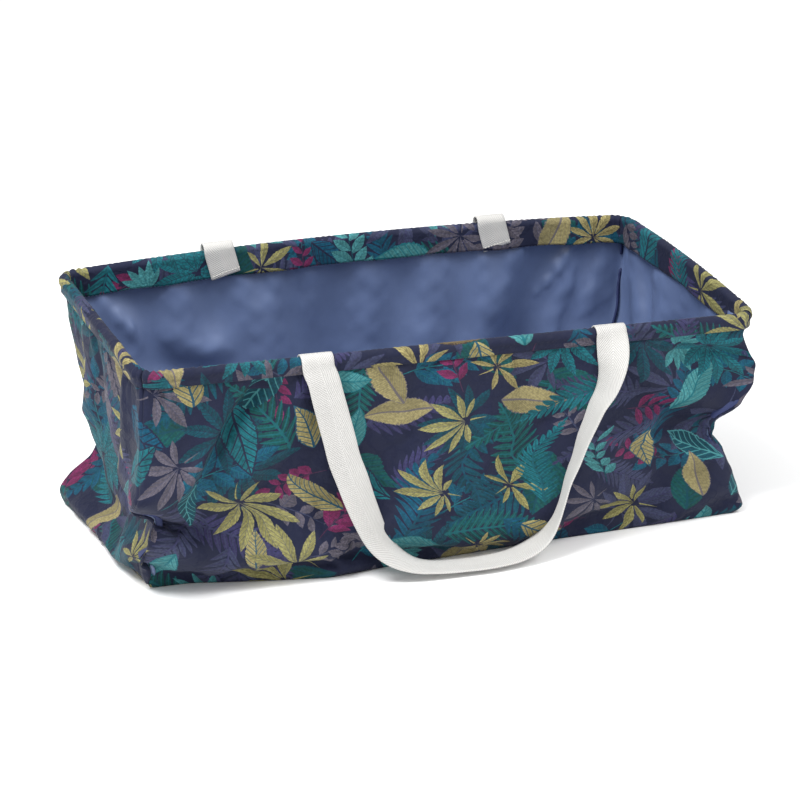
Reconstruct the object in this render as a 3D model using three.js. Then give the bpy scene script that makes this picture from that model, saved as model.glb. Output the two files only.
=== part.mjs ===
// Foldable tote bag: an open rectangular carrying bag on a steel wire rim.
// Millimetres, +Z up. The origin is the middle of the base, on the surface the bag stands on.
// +X runs along the length, -Y is the front. The fabric stands slack, lower than its cut height,
// so the walls carry soft folds and the rim sits slightly out of level.
import * as THREE from 'three';

// ---------------------------------------------------------------- driving dimensions
const RIM_LENGTH = 560;            // over the casing, along X, with the rim square
const RIM_WIDTH = 252;             // over the casing, along Y
const RIM_HEIGHT = 208.9;          // mean height of the casing's crest at the four corners
const RIM_DROP_RIGHT = 4.8;        // the right end sits lower by this, the left end higher
const RIM_RISE_BACK = 10.6;        // the back sits higher by this, the front lower
const RIM_TWIST = 2.3;             // out-of-plane twist of the four corners
const RIM_BOW_BACK = 8;            // the springy wire bows up along the back
const RIM_BOW_RIGHT = 5;           // and along the right end
const RIM_SPRING_FRONT_RIGHT = 11; // the wire springs out past square at this corner
const RIM_SPRING_BACK_LEFT = 5;    // and at this one
const WIRE_BEND_RADIUS = 14;       // wire centreline, at each corner
const WIRE_RADIUS = 2.5;
const WIRE_LIFT = 0.2;             // the wire lies a little above the middle of its casing
const WIRE_END_GAP = 1.0;
const FERRULE_LENGTH = 30;
const FERRULE_INNER = 2.8;
const FERRULE_OUTER = 3.5;
const CASING_RADIUS = 5;
const BAND_DEPTH = 26;             // crest to hem, on the inside of the rim
const BAND_CLOTH = 0.8;
const BAND_MITRE_DEG = 1.5;        // each band stops this far short of the corner's mitre
const CASING_MOUTH_DEG = -70;      // where the casing's outer edge turns under
const WEBBING_WIDTH = 28;
const WEBBING_THICK = 1.6;
const WEBBING_GAP = 0.5;           // clear of the casing on its sides
const FRONT_ARCH = 0;              // the front webbing hugs the casing's crest
const BACK_ARCH = 5;               // the back webbing stands this far clear of it
const FRONT_HANDLE_ENDS = { left: -124.5, right: 145 };
const BACK_HANDLE_ENDS = { left: -134, right: 134 };
const TAB_DROP = 24;               // crest to the sewn end
const TAB_CREST_DEG = 87;          // the sewn end and the free loop part here, at the crest
const LOOP_CREST_DEG = 93;
const THREAD = 0.6;
const PANEL_CLOTH = 1.0;           // printed outer cloth
const LINING_CLOTH = 0.8;          // coated lining
const GAP = 0.4;                   // between layers that touch
const MITRE = 0.3;                 // each panel stops this far short of its corner
const BINDING_WIDTH = 8;
const BINDING_THICK = 1.4;
const WALL_STEPS = 8;
const WALL_LEVELS = 12;

// The walls' four corner seams: height fraction, then x and y on the outer cloth.
const CORNER_SEAMS = {
  front_left: [[0, -268, -108], [0.12, -273, -112], [0.32, -270, -119], [0.5, -281, -130],
    [0.75, -279, -127], [0.92, -277, -123], [1, -277, -123]],
  front_right: [[0, 279, -121], [0.06, 283, -122], [0.25, 268, -120], [0.42, 257, -117],
    [0.56, 272, -120], [0.72, 286, -123], [0.86, 284, -123], [1, 288, -123]],
  back_right: [[0, 279, 121], [0.1, 283, 122], [0.3, 274, 121], [0.45, 265, 119],
    [0.62, 272, 121], [0.8, 280, 123], [1, 277, 123]],
  back_left: [[0, -285, 118], [0.1, -287, 117], [0.25, -269, 118], [0.4, -254, 120],
    [0.6, -260, 122], [0.8, -270, 123], [0.9, -278, 123], [1, -282, 123]],
};

// Each wall runs from one corner seam to the next and bellies out by this much at its middle.
const WALLS = {
  front: { from: 'front_left', to: 'front_right', out: [0, -1], belly: 3 },
  right_end: { from: 'front_right', to: 'back_right', out: [1, 0], belly: 6 },
  back: { from: 'back_right', to: 'back_left', out: [0, 1], belly: 5 },
  left_end: { from: 'back_left', to: 'front_left', out: [-1, 0], belly: 4 },
};

// The front handle's hanging route below the crest: x, y, z and the turn of its width, in degrees
// of plan angle. It lies on the surface in front of the bag between its two legs.
const FRONT_HANDLE_ROUTE = [
  [-124, -128, 191, 0], [-121, -130.5, 182, 0], [-118, -133, 167, -2], [-114, -135, 149, -5],
  [-110, -137, 131, -5], [-106, -139, 112, -4], [-100, -141, 94, -2], [-94, -142.5, 75, 8],
  [-87, -144, 56, 17], [-80, -145, 40, 26], [-71, -146, 27.5, 35], [-59, -147.5, 17.5, 45],
  [-45, -149.5, 10.5, 60], [-28, -151, 6.8, 78], [-6, -152.5, 5.4, 88], [20, -154, 5.2, 90],
  [46, -152.5, 6.8, 91], [64, -149.5, 11.5, 90], [77, -147, 20, 85], [86, -145, 32, 80],
  [93, -143.5, 48, 77], [99, -142.5, 66, 77], [106, -142, 83, 82], [112, -142, 100, 86],
  [120, -142, 118, 90], [126, -142, 131, 94], [134, -141.5, 143, 102], [138.5, -140.5, 154, 112],
  [141.5, -138.5, 165, 127], [143.5, -134, 176, 147], [144.5, -130, 184, 165],
];
const BACK_HANDLE_ROUTE = [
  [-133, 127.7, 216, 0], [-130, 128.5, 202, 0], [-125, 131, 182, 2], [-118, 135, 154, 3], [-110, 139, 124, 3],
  [-101, 143, 94, 0], [-90, 146, 64, -8], [-76, 149, 36, -28], [-58, 153, 15, -58],
  [-34, 158, 6.5, -78], [-6, 163, 5.2, -88], [22, 164, 5.2, -90], [48, 160, 6, -96],
  [68, 154, 13, -108], [82, 150, 32, -126], [93, 147, 58, -146], [103, 143, 88, -162],
  [113, 139, 120, -172], [122, 135, 152, -177], [130, 131, 182, -180], [133, 128.5, 201, -180],
  [134, 127.7, 214, -180],
];

// ---------------------------------------------------------------- colours
const COLOURS = {
  print: { color: 0x2c3f58, roughness: 0.85, metalness: 0 },
  lining: { color: 0x44567f, roughness: 0.4, metalness: 0 },
  webbing: { color: 0xe8e6e1, roughness: 0.9, metalness: 0 },
  binding: { color: 0x2a3553, roughness: 0.8, metalness: 0 },
  steel: { color: 0x9a9ea3, roughness: 0.35, metalness: 0.9 },
  ferrule: { color: 0xb9bcc0, roughness: 0.3, metalness: 0.9 },
  white_thread: { color: 0xf0eee8, roughness: 0.8, metalness: 0 },
  navy_thread: { color: 0x23304f, roughness: 0.8, metalness: 0 },
};

const bag = new THREE.Group();

function addPart(name, geometry, finish) {
  const mesh = new THREE.Mesh(geometry, new THREE.MeshStandardMaterial(COLOURS[finish]));
  mesh.name = name;
  bag.add(mesh);
  return mesh;
}

// ---------------------------------------------------------------- closed solids
function solid(points, triangles) {
  const positions = new Float32Array(points.flatMap((p) => [p.x, p.y, p.z]));
  const geometry = new THREE.BufferGeometry();
  geometry.setAttribute('position', new THREE.BufferAttribute(positions, 3));
  geometry.setIndex(triangles.flat());
  if (signedVolume(points, triangles) < 0) {
    geometry.setIndex(triangles.map(([a, b, c]) => [a, c, b]).flat());
  }
  geometry.computeVertexNormals();
  return geometry;
}

function signedVolume(points, triangles) {
  const cross = new THREE.Vector3();
  let volume = 0;
  for (const [a, b, c] of triangles) {
    volume += points[a].dot(cross.crossVectors(points[b], points[c])) / 6;
  }
  return volume;
}

// A section outline carried through a list of stations; place(station, u, v) gives each point.
function sweep(outline, stations, place) {
  const count = outline.length;
  const points = stations.flatMap((station) => outline.map(([u, v]) => place(station, u, v)));
  const triangles = [];
  for (let i = 0; i < stations.length - 1; i += 1) {
    for (let j = 0; j < count; j += 1) {
      const a = i * count + j;
      const b = i * count + ((j + 1) % count);
      triangles.push([a, b, b + count], [a, b + count, a + count]);
    }
  }
  const contour = outline.map(([u, v]) => new THREE.Vector2(u, v));
  if (THREE.ShapeUtils.isClockWise(contour)) throw new Error('section outlines run anticlockwise');
  const last = (stations.length - 1) * count;
  for (const [a, b, c] of THREE.ShapeUtils.triangulateShape(contour, [])) {
    triangles.push([a, c, b], [last + a, last + b, last + c]);
  }
  return solid(points, triangles);
}

// A sheet between two surfaces, each a grid of points from surface(u, v).
function sheetSolid(outer, inner, uSteps, vSteps) {
  const points = [];
  for (const surface of [outer, inner]) {
    for (let j = 0; j <= vSteps; j += 1) {
      for (let i = 0; i <= uSteps; i += 1) points.push(surface(i / uSteps, j / vSteps));
    }
  }
  const row = uSteps + 1;
  const layer = row * (vSteps + 1);
  const at = (i, j, side) => side * layer + j * row + i;
  const triangles = [];
  const quad = (a, b, c, d) => triangles.push([a, b, c], [a, c, d]);
  for (let j = 0; j < vSteps; j += 1) {
    for (let i = 0; i < uSteps; i += 1) {
      quad(at(i, j, 0), at(i + 1, j, 0), at(i + 1, j + 1, 0), at(i, j + 1, 0));
      quad(at(i, j, 1), at(i, j + 1, 1), at(i + 1, j + 1, 1), at(i + 1, j, 1));
    }
  }
  for (let i = 0; i < uSteps; i += 1) {
    quad(at(i + 1, 0, 0), at(i, 0, 0), at(i, 0, 1), at(i + 1, 0, 1));
    quad(at(i, vSteps, 0), at(i + 1, vSteps, 0), at(i + 1, vSteps, 1), at(i, vSteps, 1));
  }
  for (let j = 0; j < vSteps; j += 1) {
    quad(at(0, j, 0), at(0, j + 1, 0), at(0, j + 1, 1), at(0, j, 1));
    quad(at(uSteps, j + 1, 0), at(uSteps, j, 0), at(uSteps, j, 1), at(uSteps, j + 1, 1));
  }
  return solid(points, triangles);
}

function arc(radius, fromDeg, toDeg, steps) {
  return Array.from({ length: steps + 1 }, (_, i) => {
    const angle = THREE.MathUtils.degToRad(fromDeg + ((toDeg - fromDeg) * i) / steps);
    return [radius * Math.cos(angle), radius * Math.sin(angle)];
  });
}

// ---------------------------------------------------------------- the rim's line
const WIRE_X = RIM_LENGTH / 2 - CASING_RADIUS;
const WIRE_Y = RIM_WIDTH / 2 - CASING_RADIUS;

function crestHeight(x, y) {
  const alongX = x / WIRE_X;
  const alongY = y / WIRE_Y;
  const backBow = (RIM_BOW_BACK * (1 - alongX * alongX) * (1 + alongY)) / 2;
  const rightBow = (RIM_BOW_RIGHT * (1 - alongY * alongY) * (1 + alongX)) / 2;
  return RIM_HEIGHT - RIM_DROP_RIGHT * alongX + RIM_RISE_BACK * alongY
    + RIM_TWIST * alongX * alongY + backBow + rightBow;
}

// A place on the square rim, carried to where the sprung wire holds the casing's centreline.
function station({ x, y, outward }) {
  const alongX = x / WIRE_X;
  const alongY = y / WIRE_Y;
  const springX = (RIM_SPRING_FRONT_RIGHT * Math.max(alongX, 0) * (1 - alongY)
    - RIM_SPRING_BACK_LEFT * Math.max(-alongX, 0) * (1 + alongY)) / 2;
  const heldX = x + springX;
  return { centre: new THREE.Vector3(heldX, y, crestHeight(heldX, y) - CASING_RADIUS), outward };
}

// The place on the square rim that faces the plan angle, about its own corner.
function corner(cornerX, cornerY, facingDeg) {
  const facing = THREE.MathUtils.degToRad(facingDeg);
  const outward = new THREE.Vector3(Math.cos(facing), Math.sin(facing), 0);
  const x = cornerX * (WIRE_X - WIRE_BEND_RADIUS) + WIRE_BEND_RADIUS * outward.x;
  const y = cornerY * (WIRE_Y - WIRE_BEND_RADIUS) + WIRE_BEND_RADIUS * outward.y;
  return { x, y, outward };
}

// Even places from one to another along a straight, both ends included.
const straight = (from, to, steps) => Array.from({ length: steps + 1 }, (_, i) => ({
  x: from.x + ((to.x - from.x) * i) / steps,
  y: from.y + ((to.y - from.y) * i) / steps,
  outward: from.outward,
}));

const onRim = ({ centre, outward }, out, up) => centre.clone()
  .addScaledVector(outward, out)
  .add(new THREE.Vector3(0, 0, up));

// Rails in order round the rim: the way each faces, the corners at its start and end, and its steps.
const RAILS = {
  front: { facing: -90, start: [-1, -1], end: [1, -1], steps: 12 },
  right_end: { facing: 0, start: [1, -1], end: [1, 1], steps: 6 },
  back: { facing: 90, start: [1, 1], end: [-1, 1], steps: 12 },
  left_end: { facing: 180, start: [-1, 1], end: [-1, -1], steps: 6 },
};
const railStraight = ({ facing, start, end, steps }) => straight(
  corner(...start, facing), corner(...end, facing), steps);

// The rail's straight with an arc of turnDeg at each end.
function railStations(rail, turnDeg, arcSteps) {
  const turns = Array.from({ length: arcSteps }, (_, i) => (turnDeg * (i + 1)) / arcSteps);
  return [
    ...turns.toReversed().map((deg) => corner(...rail.start, rail.facing - deg)),
    ...railStraight(rail),
    ...turns.map((deg) => corner(...rail.end, rail.facing + deg)),
  ].map(station);
}

// ---------------------------------------------------------------- rim: wire and ferrule
// One wire, bent at the four corners. Its two ends meet in the ferrule at the middle of the back.
function makeWire() {
  const { facing, start, end } = RAILS.back;
  const places = straight(corner(...end, facing), corner(...start, facing), 12);
  const wireEnd = (side) => ({ ...places[0], x: (side * WIRE_END_GAP) / 2 });
  const run = [wireEnd(-1), ...places.filter(({ x }) => x < -WIRE_END_GAP).reverse()];
  for (const rail of [RAILS.left_end, RAILS.front, RAILS.right_end, RAILS.back]) {
    for (let deg = -75; deg < 0; deg += 15) run.push(corner(...rail.start, rail.facing + deg));
    if (rail !== RAILS.back) run.push(...railStraight(rail));
  }
  run.push(...places.filter(({ x }) => x > WIRE_END_GAP).reverse(), wireEnd(1));
  const section = arc(WIRE_RADIUS, 0, 324, 9);
  return sweep(section, run.map(station), (at, u, v) => onRim(at, u, v + WIRE_LIFT));
}
addPart('rim_wire', makeWire(), 'steel');

const ferruleWall = [
  [FERRULE_INNER, -FERRULE_LENGTH / 2], [FERRULE_OUTER, -FERRULE_LENGTH / 2],
  [FERRULE_OUTER, FERRULE_LENGTH / 2], [FERRULE_INNER, FERRULE_LENGTH / 2],
  [FERRULE_INNER, -FERRULE_LENGTH / 2],
].map(([r, z]) => new THREE.Vector2(r, z));
const ferrule = addPart('wire_ferrule', new THREE.LatheGeometry(ferruleWall, 20), 'ferrule');
ferrule.rotation.z = -Math.PI / 2;
ferrule.position.set(0, WIRE_Y, crestHeight(0, WIRE_Y) - CASING_RADIUS + WIRE_LIFT);

// ---------------------------------------------------------------- rim: four printed bands
// Each band wraps the wire as a casing and hangs down inside the bag to its stitched hem.
const hemZ = CASING_RADIUS - BAND_DEPTH;
const bandSection = [
  ...arc(CASING_RADIUS, CASING_MOUTH_DEG, 180, 10),
  [-CASING_RADIUS, hemZ],
  [-CASING_RADIUS + BAND_CLOTH, hemZ],
  ...arc(CASING_RADIUS - BAND_CLOTH, 180, CASING_MOUTH_DEG, 10),
];
const hemStitchSection = [
  [-CASING_RADIUS - GAP - THREAD, hemZ + 0.4], [-CASING_RADIUS - GAP, hemZ + 0.4],
  [-CASING_RADIUS - GAP, hemZ + 0.4 + THREAD], [-CASING_RADIUS - GAP - THREAD, hemZ + 0.4 + THREAD],
];
for (const [name, rail] of Object.entries(RAILS)) {
  const stations = railStations(rail, 45 - BAND_MITRE_DEG, 4);
  addPart(`${name}_band`, sweep(bandSection, stations, onRim), 'print');
  const seam = railStraight(rail).map(station);
  addPart(`${name}_hem_stitching`, sweep(hemStitchSection, seam, onRim), 'navy_thread');
}

// ---------------------------------------------------------------- handles
// Each webbing end folds over the rail and is sewn to the inside of the band.
const HANDLES = {
  front: { arch: FRONT_ARCH, ends: FRONT_HANDLE_ENDS, route: FRONT_HANDLE_ROUTE, turn: 180 },
  back: { arch: BACK_ARCH, ends: BACK_HANDLE_ENDS, route: BACK_HANDLE_ROUTE, turn: -180 },
};
const webbingInner = CASING_RADIUS + WEBBING_GAP;
const webbingOuter = webbingInner + WEBBING_THICK;
const tabEndZ = CASING_RADIUS - TAB_DROP;
const tabStitchSection = [
  [-webbingOuter - GAP - THREAD, tabEndZ + 3], [-webbingOuter - GAP, tabEndZ + 3],
  [-webbingOuter - GAP, tabEndZ + 3 + THREAD], [-webbingOuter - GAP - THREAD, tabEndZ + 3 + THREAD],
];

function tabSection(arch) {
  const raised = (points) => points.map(([out, up]) => [out, up + arch]);
  return [
    ...raised(arc(webbingOuter, 180 - TAB_CREST_DEG, 180, 8)),
    [-webbingOuter, tabEndZ],
    [-webbingInner, tabEndZ],
    ...raised(arc(webbingInner, 180, 180 - TAB_CREST_DEG, 8)),
  ];
}

function acrossRail(rail, x, halfWidth) {
  const { outward } = corner(...rail.start, rail.facing);
  const y = outward.y * WIRE_Y;
  const edges = outward.y < 0 ? [x - halfWidth, x + halfWidth] : [x + halfWidth, x - halfWidth];
  return edges.map((endX) => ({
    centre: new THREE.Vector3(endX, y, crestHeight(endX, y) - CASING_RADIUS), outward,
  }));
}

for (const [railName, { arch, ends }] of Object.entries(HANDLES)) {
  for (const [side, endX] of Object.entries(ends)) {
    const tab = acrossRail(RAILS[railName], endX, WEBBING_WIDTH / 2);
    addPart(`${railName}_${side}_tab`, sweep(tabSection(arch), tab, onRim), 'webbing');
    const seam = acrossRail(RAILS[railName], endX, WEBBING_WIDTH / 2 - 2);
    addPart(`${railName}_${side}_tab_stitching`, sweep(tabStitchSection, seam, onRim), 'white_thread');
  }
}

// The free loop starts and ends on the crest, rolls over the casing and follows its route.
function handleStations(railName) {
  const { arch, ends, route, turn } = HANDLES[railName];
  const rail = RAILS[railName];
  const middle = (webbingInner + webbingOuter) / 2;
  const overRail = (x, widthDeg, descending) => {
    const [{ centre, outward }] = acrossRail(rail, x, 0);
    const turns = [180 - LOOP_CREST_DEG, 62, 36, 12];
    const points = turns.map((deg) => {
      const angle = THREE.MathUtils.degToRad(deg);
      const point = onRim({ centre, outward }, middle * Math.cos(angle), arch + middle * Math.sin(angle));
      return { point, widthDeg };
    });
    return descending ? points : points.reverse();
  };
  const hanging = route.map(([x, y, z, widthDeg]) => ({ point: new THREE.Vector3(x, y, z), widthDeg }));
  const knots = [...overRail(ends.left, 0, true), ...hanging, ...overRail(ends.right, turn, false)];
  const curve = new THREE.CatmullRomCurve3(knots.map((k) => k.point), false, 'centripetal');
  const steps = (knots.length - 1) * 2;
  return Array.from({ length: steps + 1 }, (_, i) => {
    const t = i / steps;
    const along = t * (knots.length - 1);
    const before = Math.min(Math.floor(along), knots.length - 2);
    const blend = along - before;
    const widthDeg = knots[before].widthDeg * (1 - blend) + knots[before + 1].widthDeg * blend;
    const angle = THREE.MathUtils.degToRad(widthDeg);
    const tangent = curve.getTangent(t);
    const width = new THREE.Vector3(Math.cos(angle), Math.sin(angle), 0);
    width.addScaledVector(tangent, -width.dot(tangent)).normalize();
    return { centre: curve.getPoint(t), width, face: new THREE.Vector3().crossVectors(tangent, width) };
  });
}

const webbingSection = [
  [-WEBBING_WIDTH / 2, -WEBBING_THICK / 2], [WEBBING_WIDTH / 2, -WEBBING_THICK / 2],
  [WEBBING_WIDTH / 2, WEBBING_THICK / 2], [-WEBBING_WIDTH / 2, WEBBING_THICK / 2],
];
const onWebbing = ({ centre, width, face }, u, v) => centre.clone()
  .addScaledVector(width, u)
  .addScaledVector(face, v);
for (const railName of Object.keys(HANDLES)) {
  const loop = sweep(webbingSection, handleStations(railName), onWebbing);
  addPart(`${railName}_handle_webbing`, loop, 'webbing');
}

// ---------------------------------------------------------------- walls, linings and bindings
const wallTop = (x, y) => crestHeight(x, y) - 2 * CASING_RADIUS - GAP;

// A corner seam at height fraction v, moved in from the outer cloth by inset.
function cornerAt(name, v, inset) {
  const seam = CORNER_SEAMS[name];
  let i = 0;
  while (i < seam.length - 2 && v > seam[i + 1][0]) i += 1;
  const [v0, x0, y0] = seam[i];
  const [v1, x1, y1] = seam[i + 1];
  const t = THREE.MathUtils.smoothstep(v, v0, v1);
  const x = x0 + (x1 - x0) * t;
  const y = y0 + (y1 - y0) * t;
  return new THREE.Vector2(x - Math.sign(x) * inset, y - Math.sign(y) * inset);
}

// The wall's surface, moved in by inset. Its lowest row is raised to floorZ along its first level.
function wallSurface(wall, inset, floorZ) {
  const [outX, outY] = wall.out;
  const pointAt = (u, v) => {
    const a = cornerAt(wall.from, v, inset);
    const b = cornerAt(wall.to, v, inset);
    const along = new THREE.Vector2().subVectors(b, a);
    const trim = MITRE / along.length();
    const t = trim + (1 - 2 * trim) * u;
    const belly = wall.belly * Math.sin(Math.PI * v) * Math.sin(Math.PI * t);
    const x = a.x + along.x * t + outX * belly;
    const y = a.y + along.y * t + outY * belly;
    return new THREE.Vector3(x, y, wallTop(x, y) * v);
  };
  return (u, v) => {
    const point = pointAt(u, v);
    if (point.z >= floorZ) return point;
    const above = pointAt(u, 1 / WALL_LEVELS);
    return point.lerp(above, floorZ / above.z);
  };
}

const liningInset = PANEL_CLOTH + GAP;
const liningInner = liningInset + LINING_CLOTH;
const liningFloor = PANEL_CLOTH + GAP;
for (const [name, wall] of Object.entries(WALLS)) {
  const panel = sheetSolid(
    wallSurface(wall, 0, 0), wallSurface(wall, PANEL_CLOTH, 0), WALL_STEPS, WALL_LEVELS);
  addPart(`${name}_panel`, panel, 'print');
  const lining = sheetSolid(
    wallSurface(wall, liningInset, liningFloor), wallSurface(wall, liningInner, liningFloor),
    WALL_STEPS, WALL_LEVELS);
  addPart(`${name}_lining`, lining, 'lining');
}

function baseSheet(inset, bottom, thickness) {
  const order = ['front_left', 'front_right', 'back_right', 'back_left'];
  const outline = new THREE.Shape(order.map((name) => cornerAt(name, 0, inset)));
  const geometry = new THREE.ExtrudeGeometry(outline, { depth: thickness, bevelEnabled: false });
  geometry.translate(0, 0, bottom);
  return geometry;
}
addPart('base_panel', baseSheet(PANEL_CLOTH + GAP, 0, PANEL_CLOTH), 'print');
addPart('base_lining', baseSheet(liningInner + GAP, liningFloor, LINING_CLOTH), 'lining');

// The bound seam allowance stands out of each inside corner, from the base up to the band's hem.
const bindingFloor = liningFloor + LINING_CLOTH + GAP;
const bindingNear = liningInner + 1.2;
const bindingSection = [
  [0, -BINDING_THICK / 2], [BINDING_WIDTH, -BINDING_THICK / 2],
  [BINDING_WIDTH, BINDING_THICK / 2], [0, BINDING_THICK / 2],
];

function bindingStations(seamName) {
  const levels = Array.from({ length: WALL_LEVELS }, (_, i) => {
    const corner = cornerAt(seamName, i / WALL_LEVELS, bindingNear);
    return new THREE.Vector3(corner.x, corner.y, (wallTop(corner.x, corner.y) * i) / WALL_LEVELS);
  });
  levels[0].lerp(levels[1], bindingFloor / levels[1].z);
  return levels.filter(({ x, y, z }) => z < crestHeight(x, y) - BAND_DEPTH - 1);
}

for (const name of Object.keys(CORNER_SEAMS)) {
  const [topX, topY] = CORNER_SEAMS[name].at(-1).slice(1);
  const inward = new THREE.Vector3(-Math.sign(topX), -Math.sign(topY), 0).normalize();
  const across = new THREE.Vector3(-inward.y, inward.x, 0);
  const binding = sweep(bindingSection, bindingStations(name), (point, u, v) => point.clone()
    .addScaledVector(inward, u)
    .addScaledVector(across, v));
  addPart(`${name}_seam_binding`, binding, 'binding');
}

export default bag;
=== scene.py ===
import math
import random

import bpy
import numpy as np
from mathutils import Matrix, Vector


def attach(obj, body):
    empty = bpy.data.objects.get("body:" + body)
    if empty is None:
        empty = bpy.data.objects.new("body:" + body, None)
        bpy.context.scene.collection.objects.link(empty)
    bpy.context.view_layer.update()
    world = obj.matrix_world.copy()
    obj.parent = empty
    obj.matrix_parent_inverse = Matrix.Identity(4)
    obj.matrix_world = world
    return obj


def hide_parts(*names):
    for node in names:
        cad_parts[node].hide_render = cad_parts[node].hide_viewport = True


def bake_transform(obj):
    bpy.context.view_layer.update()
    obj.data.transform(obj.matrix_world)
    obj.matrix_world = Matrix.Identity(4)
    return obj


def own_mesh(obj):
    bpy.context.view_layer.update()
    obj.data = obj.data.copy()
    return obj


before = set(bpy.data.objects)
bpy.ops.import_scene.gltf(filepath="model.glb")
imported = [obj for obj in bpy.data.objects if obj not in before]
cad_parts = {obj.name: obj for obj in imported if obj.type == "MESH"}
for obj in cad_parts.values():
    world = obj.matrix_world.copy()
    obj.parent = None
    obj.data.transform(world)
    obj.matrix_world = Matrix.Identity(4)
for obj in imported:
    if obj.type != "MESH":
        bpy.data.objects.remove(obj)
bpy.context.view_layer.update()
scene = bpy.context.scene
MM = 0.001


def new_object(name, data):
    thing = bpy.data.objects.new(name, data)
    scene.collection.objects.link(thing)
    return thing


def new_piece(name, points, faces):
    mesh = bpy.data.meshes.new(name)
    mesh.from_pydata(points.tolist(), [], faces.tolist())
    mesh.polygons.foreach_set("use_smooth", np.full(len(mesh.polygons), True))
    return new_object(name, mesh)


# ---------------------------------------------------------------- camera, floor and lights
CAMERA_AZIMUTH, CAMERA_ELEVATION, CAMERA_DISTANCE = -21.1, 20.1, 2.343
CAMERA_AIM = Vector((-0.0029, -0.0008, 0.105))
LENS, SENSOR = 117.1, 36.0
LAMP_AIM = Vector((0, 0, 0.1))
WORLD_STRENGTH = 0.9
FLOOR_HALF, FLOOR_DROP, FLOOR_GREY, FLOOR_ROUGHNESS = 6.0, 0.6 * MM, 0.94, 0.9


def place_facing(name, data, aim, azimuth, elevation, distance):
    """Put a camera or lamp round the aim point, looking at it."""
    a, e = math.radians(azimuth), math.radians(elevation)
    back = Vector((math.sin(a) * math.cos(e), -math.cos(a) * math.cos(e), math.sin(e)))
    thing = new_object(name, data)
    thing.location = aim + back * distance
    thing.rotation_euler = back.to_track_quat("Z", "Y").to_euler()
    return thing


def add_camera():
    data = bpy.data.cameras.new("camera")
    data.lens, data.sensor_width = LENS, SENSOR
    scene.camera = place_facing("camera", data, CAMERA_AIM, CAMERA_AZIMUTH, CAMERA_ELEVATION,
                                CAMERA_DISTANCE)


def add_softbox(name, azimuth, elevation, distance, size, power):
    data = bpy.data.lights.new(name, "AREA")
    data.shape, data.size, data.energy = "DISK", size, power
    place_facing(name, data, LAMP_AIM, azimuth, elevation, distance)


def add_studio():
    world = bpy.data.worlds.new("studio")
    world.use_nodes = True
    sky = world.node_tree.nodes["Background"].inputs
    sky["Color"].default_value, sky["Strength"].default_value = (1, 1, 1, 1), WORLD_STRENGTH
    scene.world = world
    scene.view_settings.view_transform = "Standard"
    add_softbox("key", -68, 58, 2.2, 0.9, 54)
    add_softbox("fill", 40, 50, 2.6, 1.2, 26)

    corners = np.array([(-1, -1, 0), (1, -1, 0), (1, 1, 0), (-1, 1, 0)]) * FLOOR_HALF
    floor = new_piece("floor", corners, np.arange(4)[None, :])
    floor.location.z = -FLOOR_DROP
    paper = bpy.data.materials.new("pale floor")
    paper.use_nodes = True
    shader = paper.node_tree.nodes["Principled BSDF"]
    shader.inputs["Base Color"].default_value = (FLOOR_GREY, FLOOR_GREY, FLOOR_GREY, 1)
    shader.inputs["Roughness"].default_value = FLOOR_ROUGHNESS
    floor.data.materials.append(paper)


add_camera()
add_studio()

# ---------------------------------------------------------------- sizes
RAIL_X, RAIL_Y = 0.275, 0.121          # the wire's centre line, with the rim square
RIM_HEIGHT = 0.2089
RIM_DROP_RIGHT, RIM_RISE_BACK, RIM_TWIST = 4.8 * MM, 10.6 * MM, 2.3 * MM
BOW_BACK, BOW_RIGHT = 8 * MM, 5 * MM   # the springy wire bows up along two rails
SPRING_FRONT_RIGHT, SPRING_BACK_LEFT = 11 * MM, 5 * MM   # and stands out past square
WIRE_BEND = 14 * MM
CASING = 5 * MM                        # radius of the casing
BAND_DEPTH = 26 * MM
CLOTH = 1.0 * MM
BAND_CLOTH = 0.8 * MM
WEBBING_WIDTH, WEBBING_THICK, WEBBING_GAP = 28 * MM, 1.6 * MM, 0.5 * MM
TAB_DROP = 24 * MM
BACK_ARCH = 5 * MM

WALL_COLUMNS = {"front": 70, "right_end": 31, "back": 70, "left_end": 31}
WALL_CUT = {"front": 0.556, "right_end": 0.246, "back": 0.556, "left_end": 0.246}
CUT_HEIGHT = 0.235                     # the walls' cloth, from the base seam to the casing
LEVELS = 28
FINER = 3                              # each settled cell becomes this many on a side
GIRTH = sum(WALL_CUT.values())
CORNER_STARTS = dict(zip(WALL_CUT, np.cumsum([0, *WALL_CUT.values()])))   # each wall's first seam
CORNER_COLUMNS = np.cumsum([0, *WALL_COLUMNS.values()])[:-1]
BASE_PRINT = (0.8, 0.6)                # the printed cloth that the base is cut from
BASE_LINING_THICK = 0.8 * MM
RUMPLE, RUMPLE_MOST = 1.5 * MM, 5 * MM
RUMPLE_HALF, RUMPLE_EASE = (0.278, 0.118), 0.03
EDGE_OUT = 1.6 * MM                    # the walls' upper edge stands outside the wire's line
LINING_NEAR, LINING_FAR = 0.6 * MM, 1.4 * MM     # the lining's two faces behind the cloth
LINING_FLOOR = 1.4 * MM
GATHER_PITCH, PUCKER_PITCH = 9 * MM, 6.0 * MM
GATHER_DEPTH, GATHER_FADE = 1.7 * MM, 0.030
SEAM_DEPTH, SEAM_HALF_WIDTH = 0.9 * MM, 2.4 * MM
DRAW_IN, DRAW_IN_COLUMNS = 7 * MM, 6   # the lining at the foot of a corner
TAPE_FOOT, TAPE_TOP = 30 * MM, 10 * MM           # where a seam tape starts and stops short


def crest(x, y):
    a, b = x / RAIL_X, y / RAIL_Y
    bow = BOW_BACK * (1 - a * a) * (1 + b) / 2 + BOW_RIGHT * (1 - b * b) * (1 + a) / 2
    return RIM_HEIGHT - RIM_DROP_RIGHT * a + RIM_RISE_BACK * b + RIM_TWIST * a * b + bow


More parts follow.
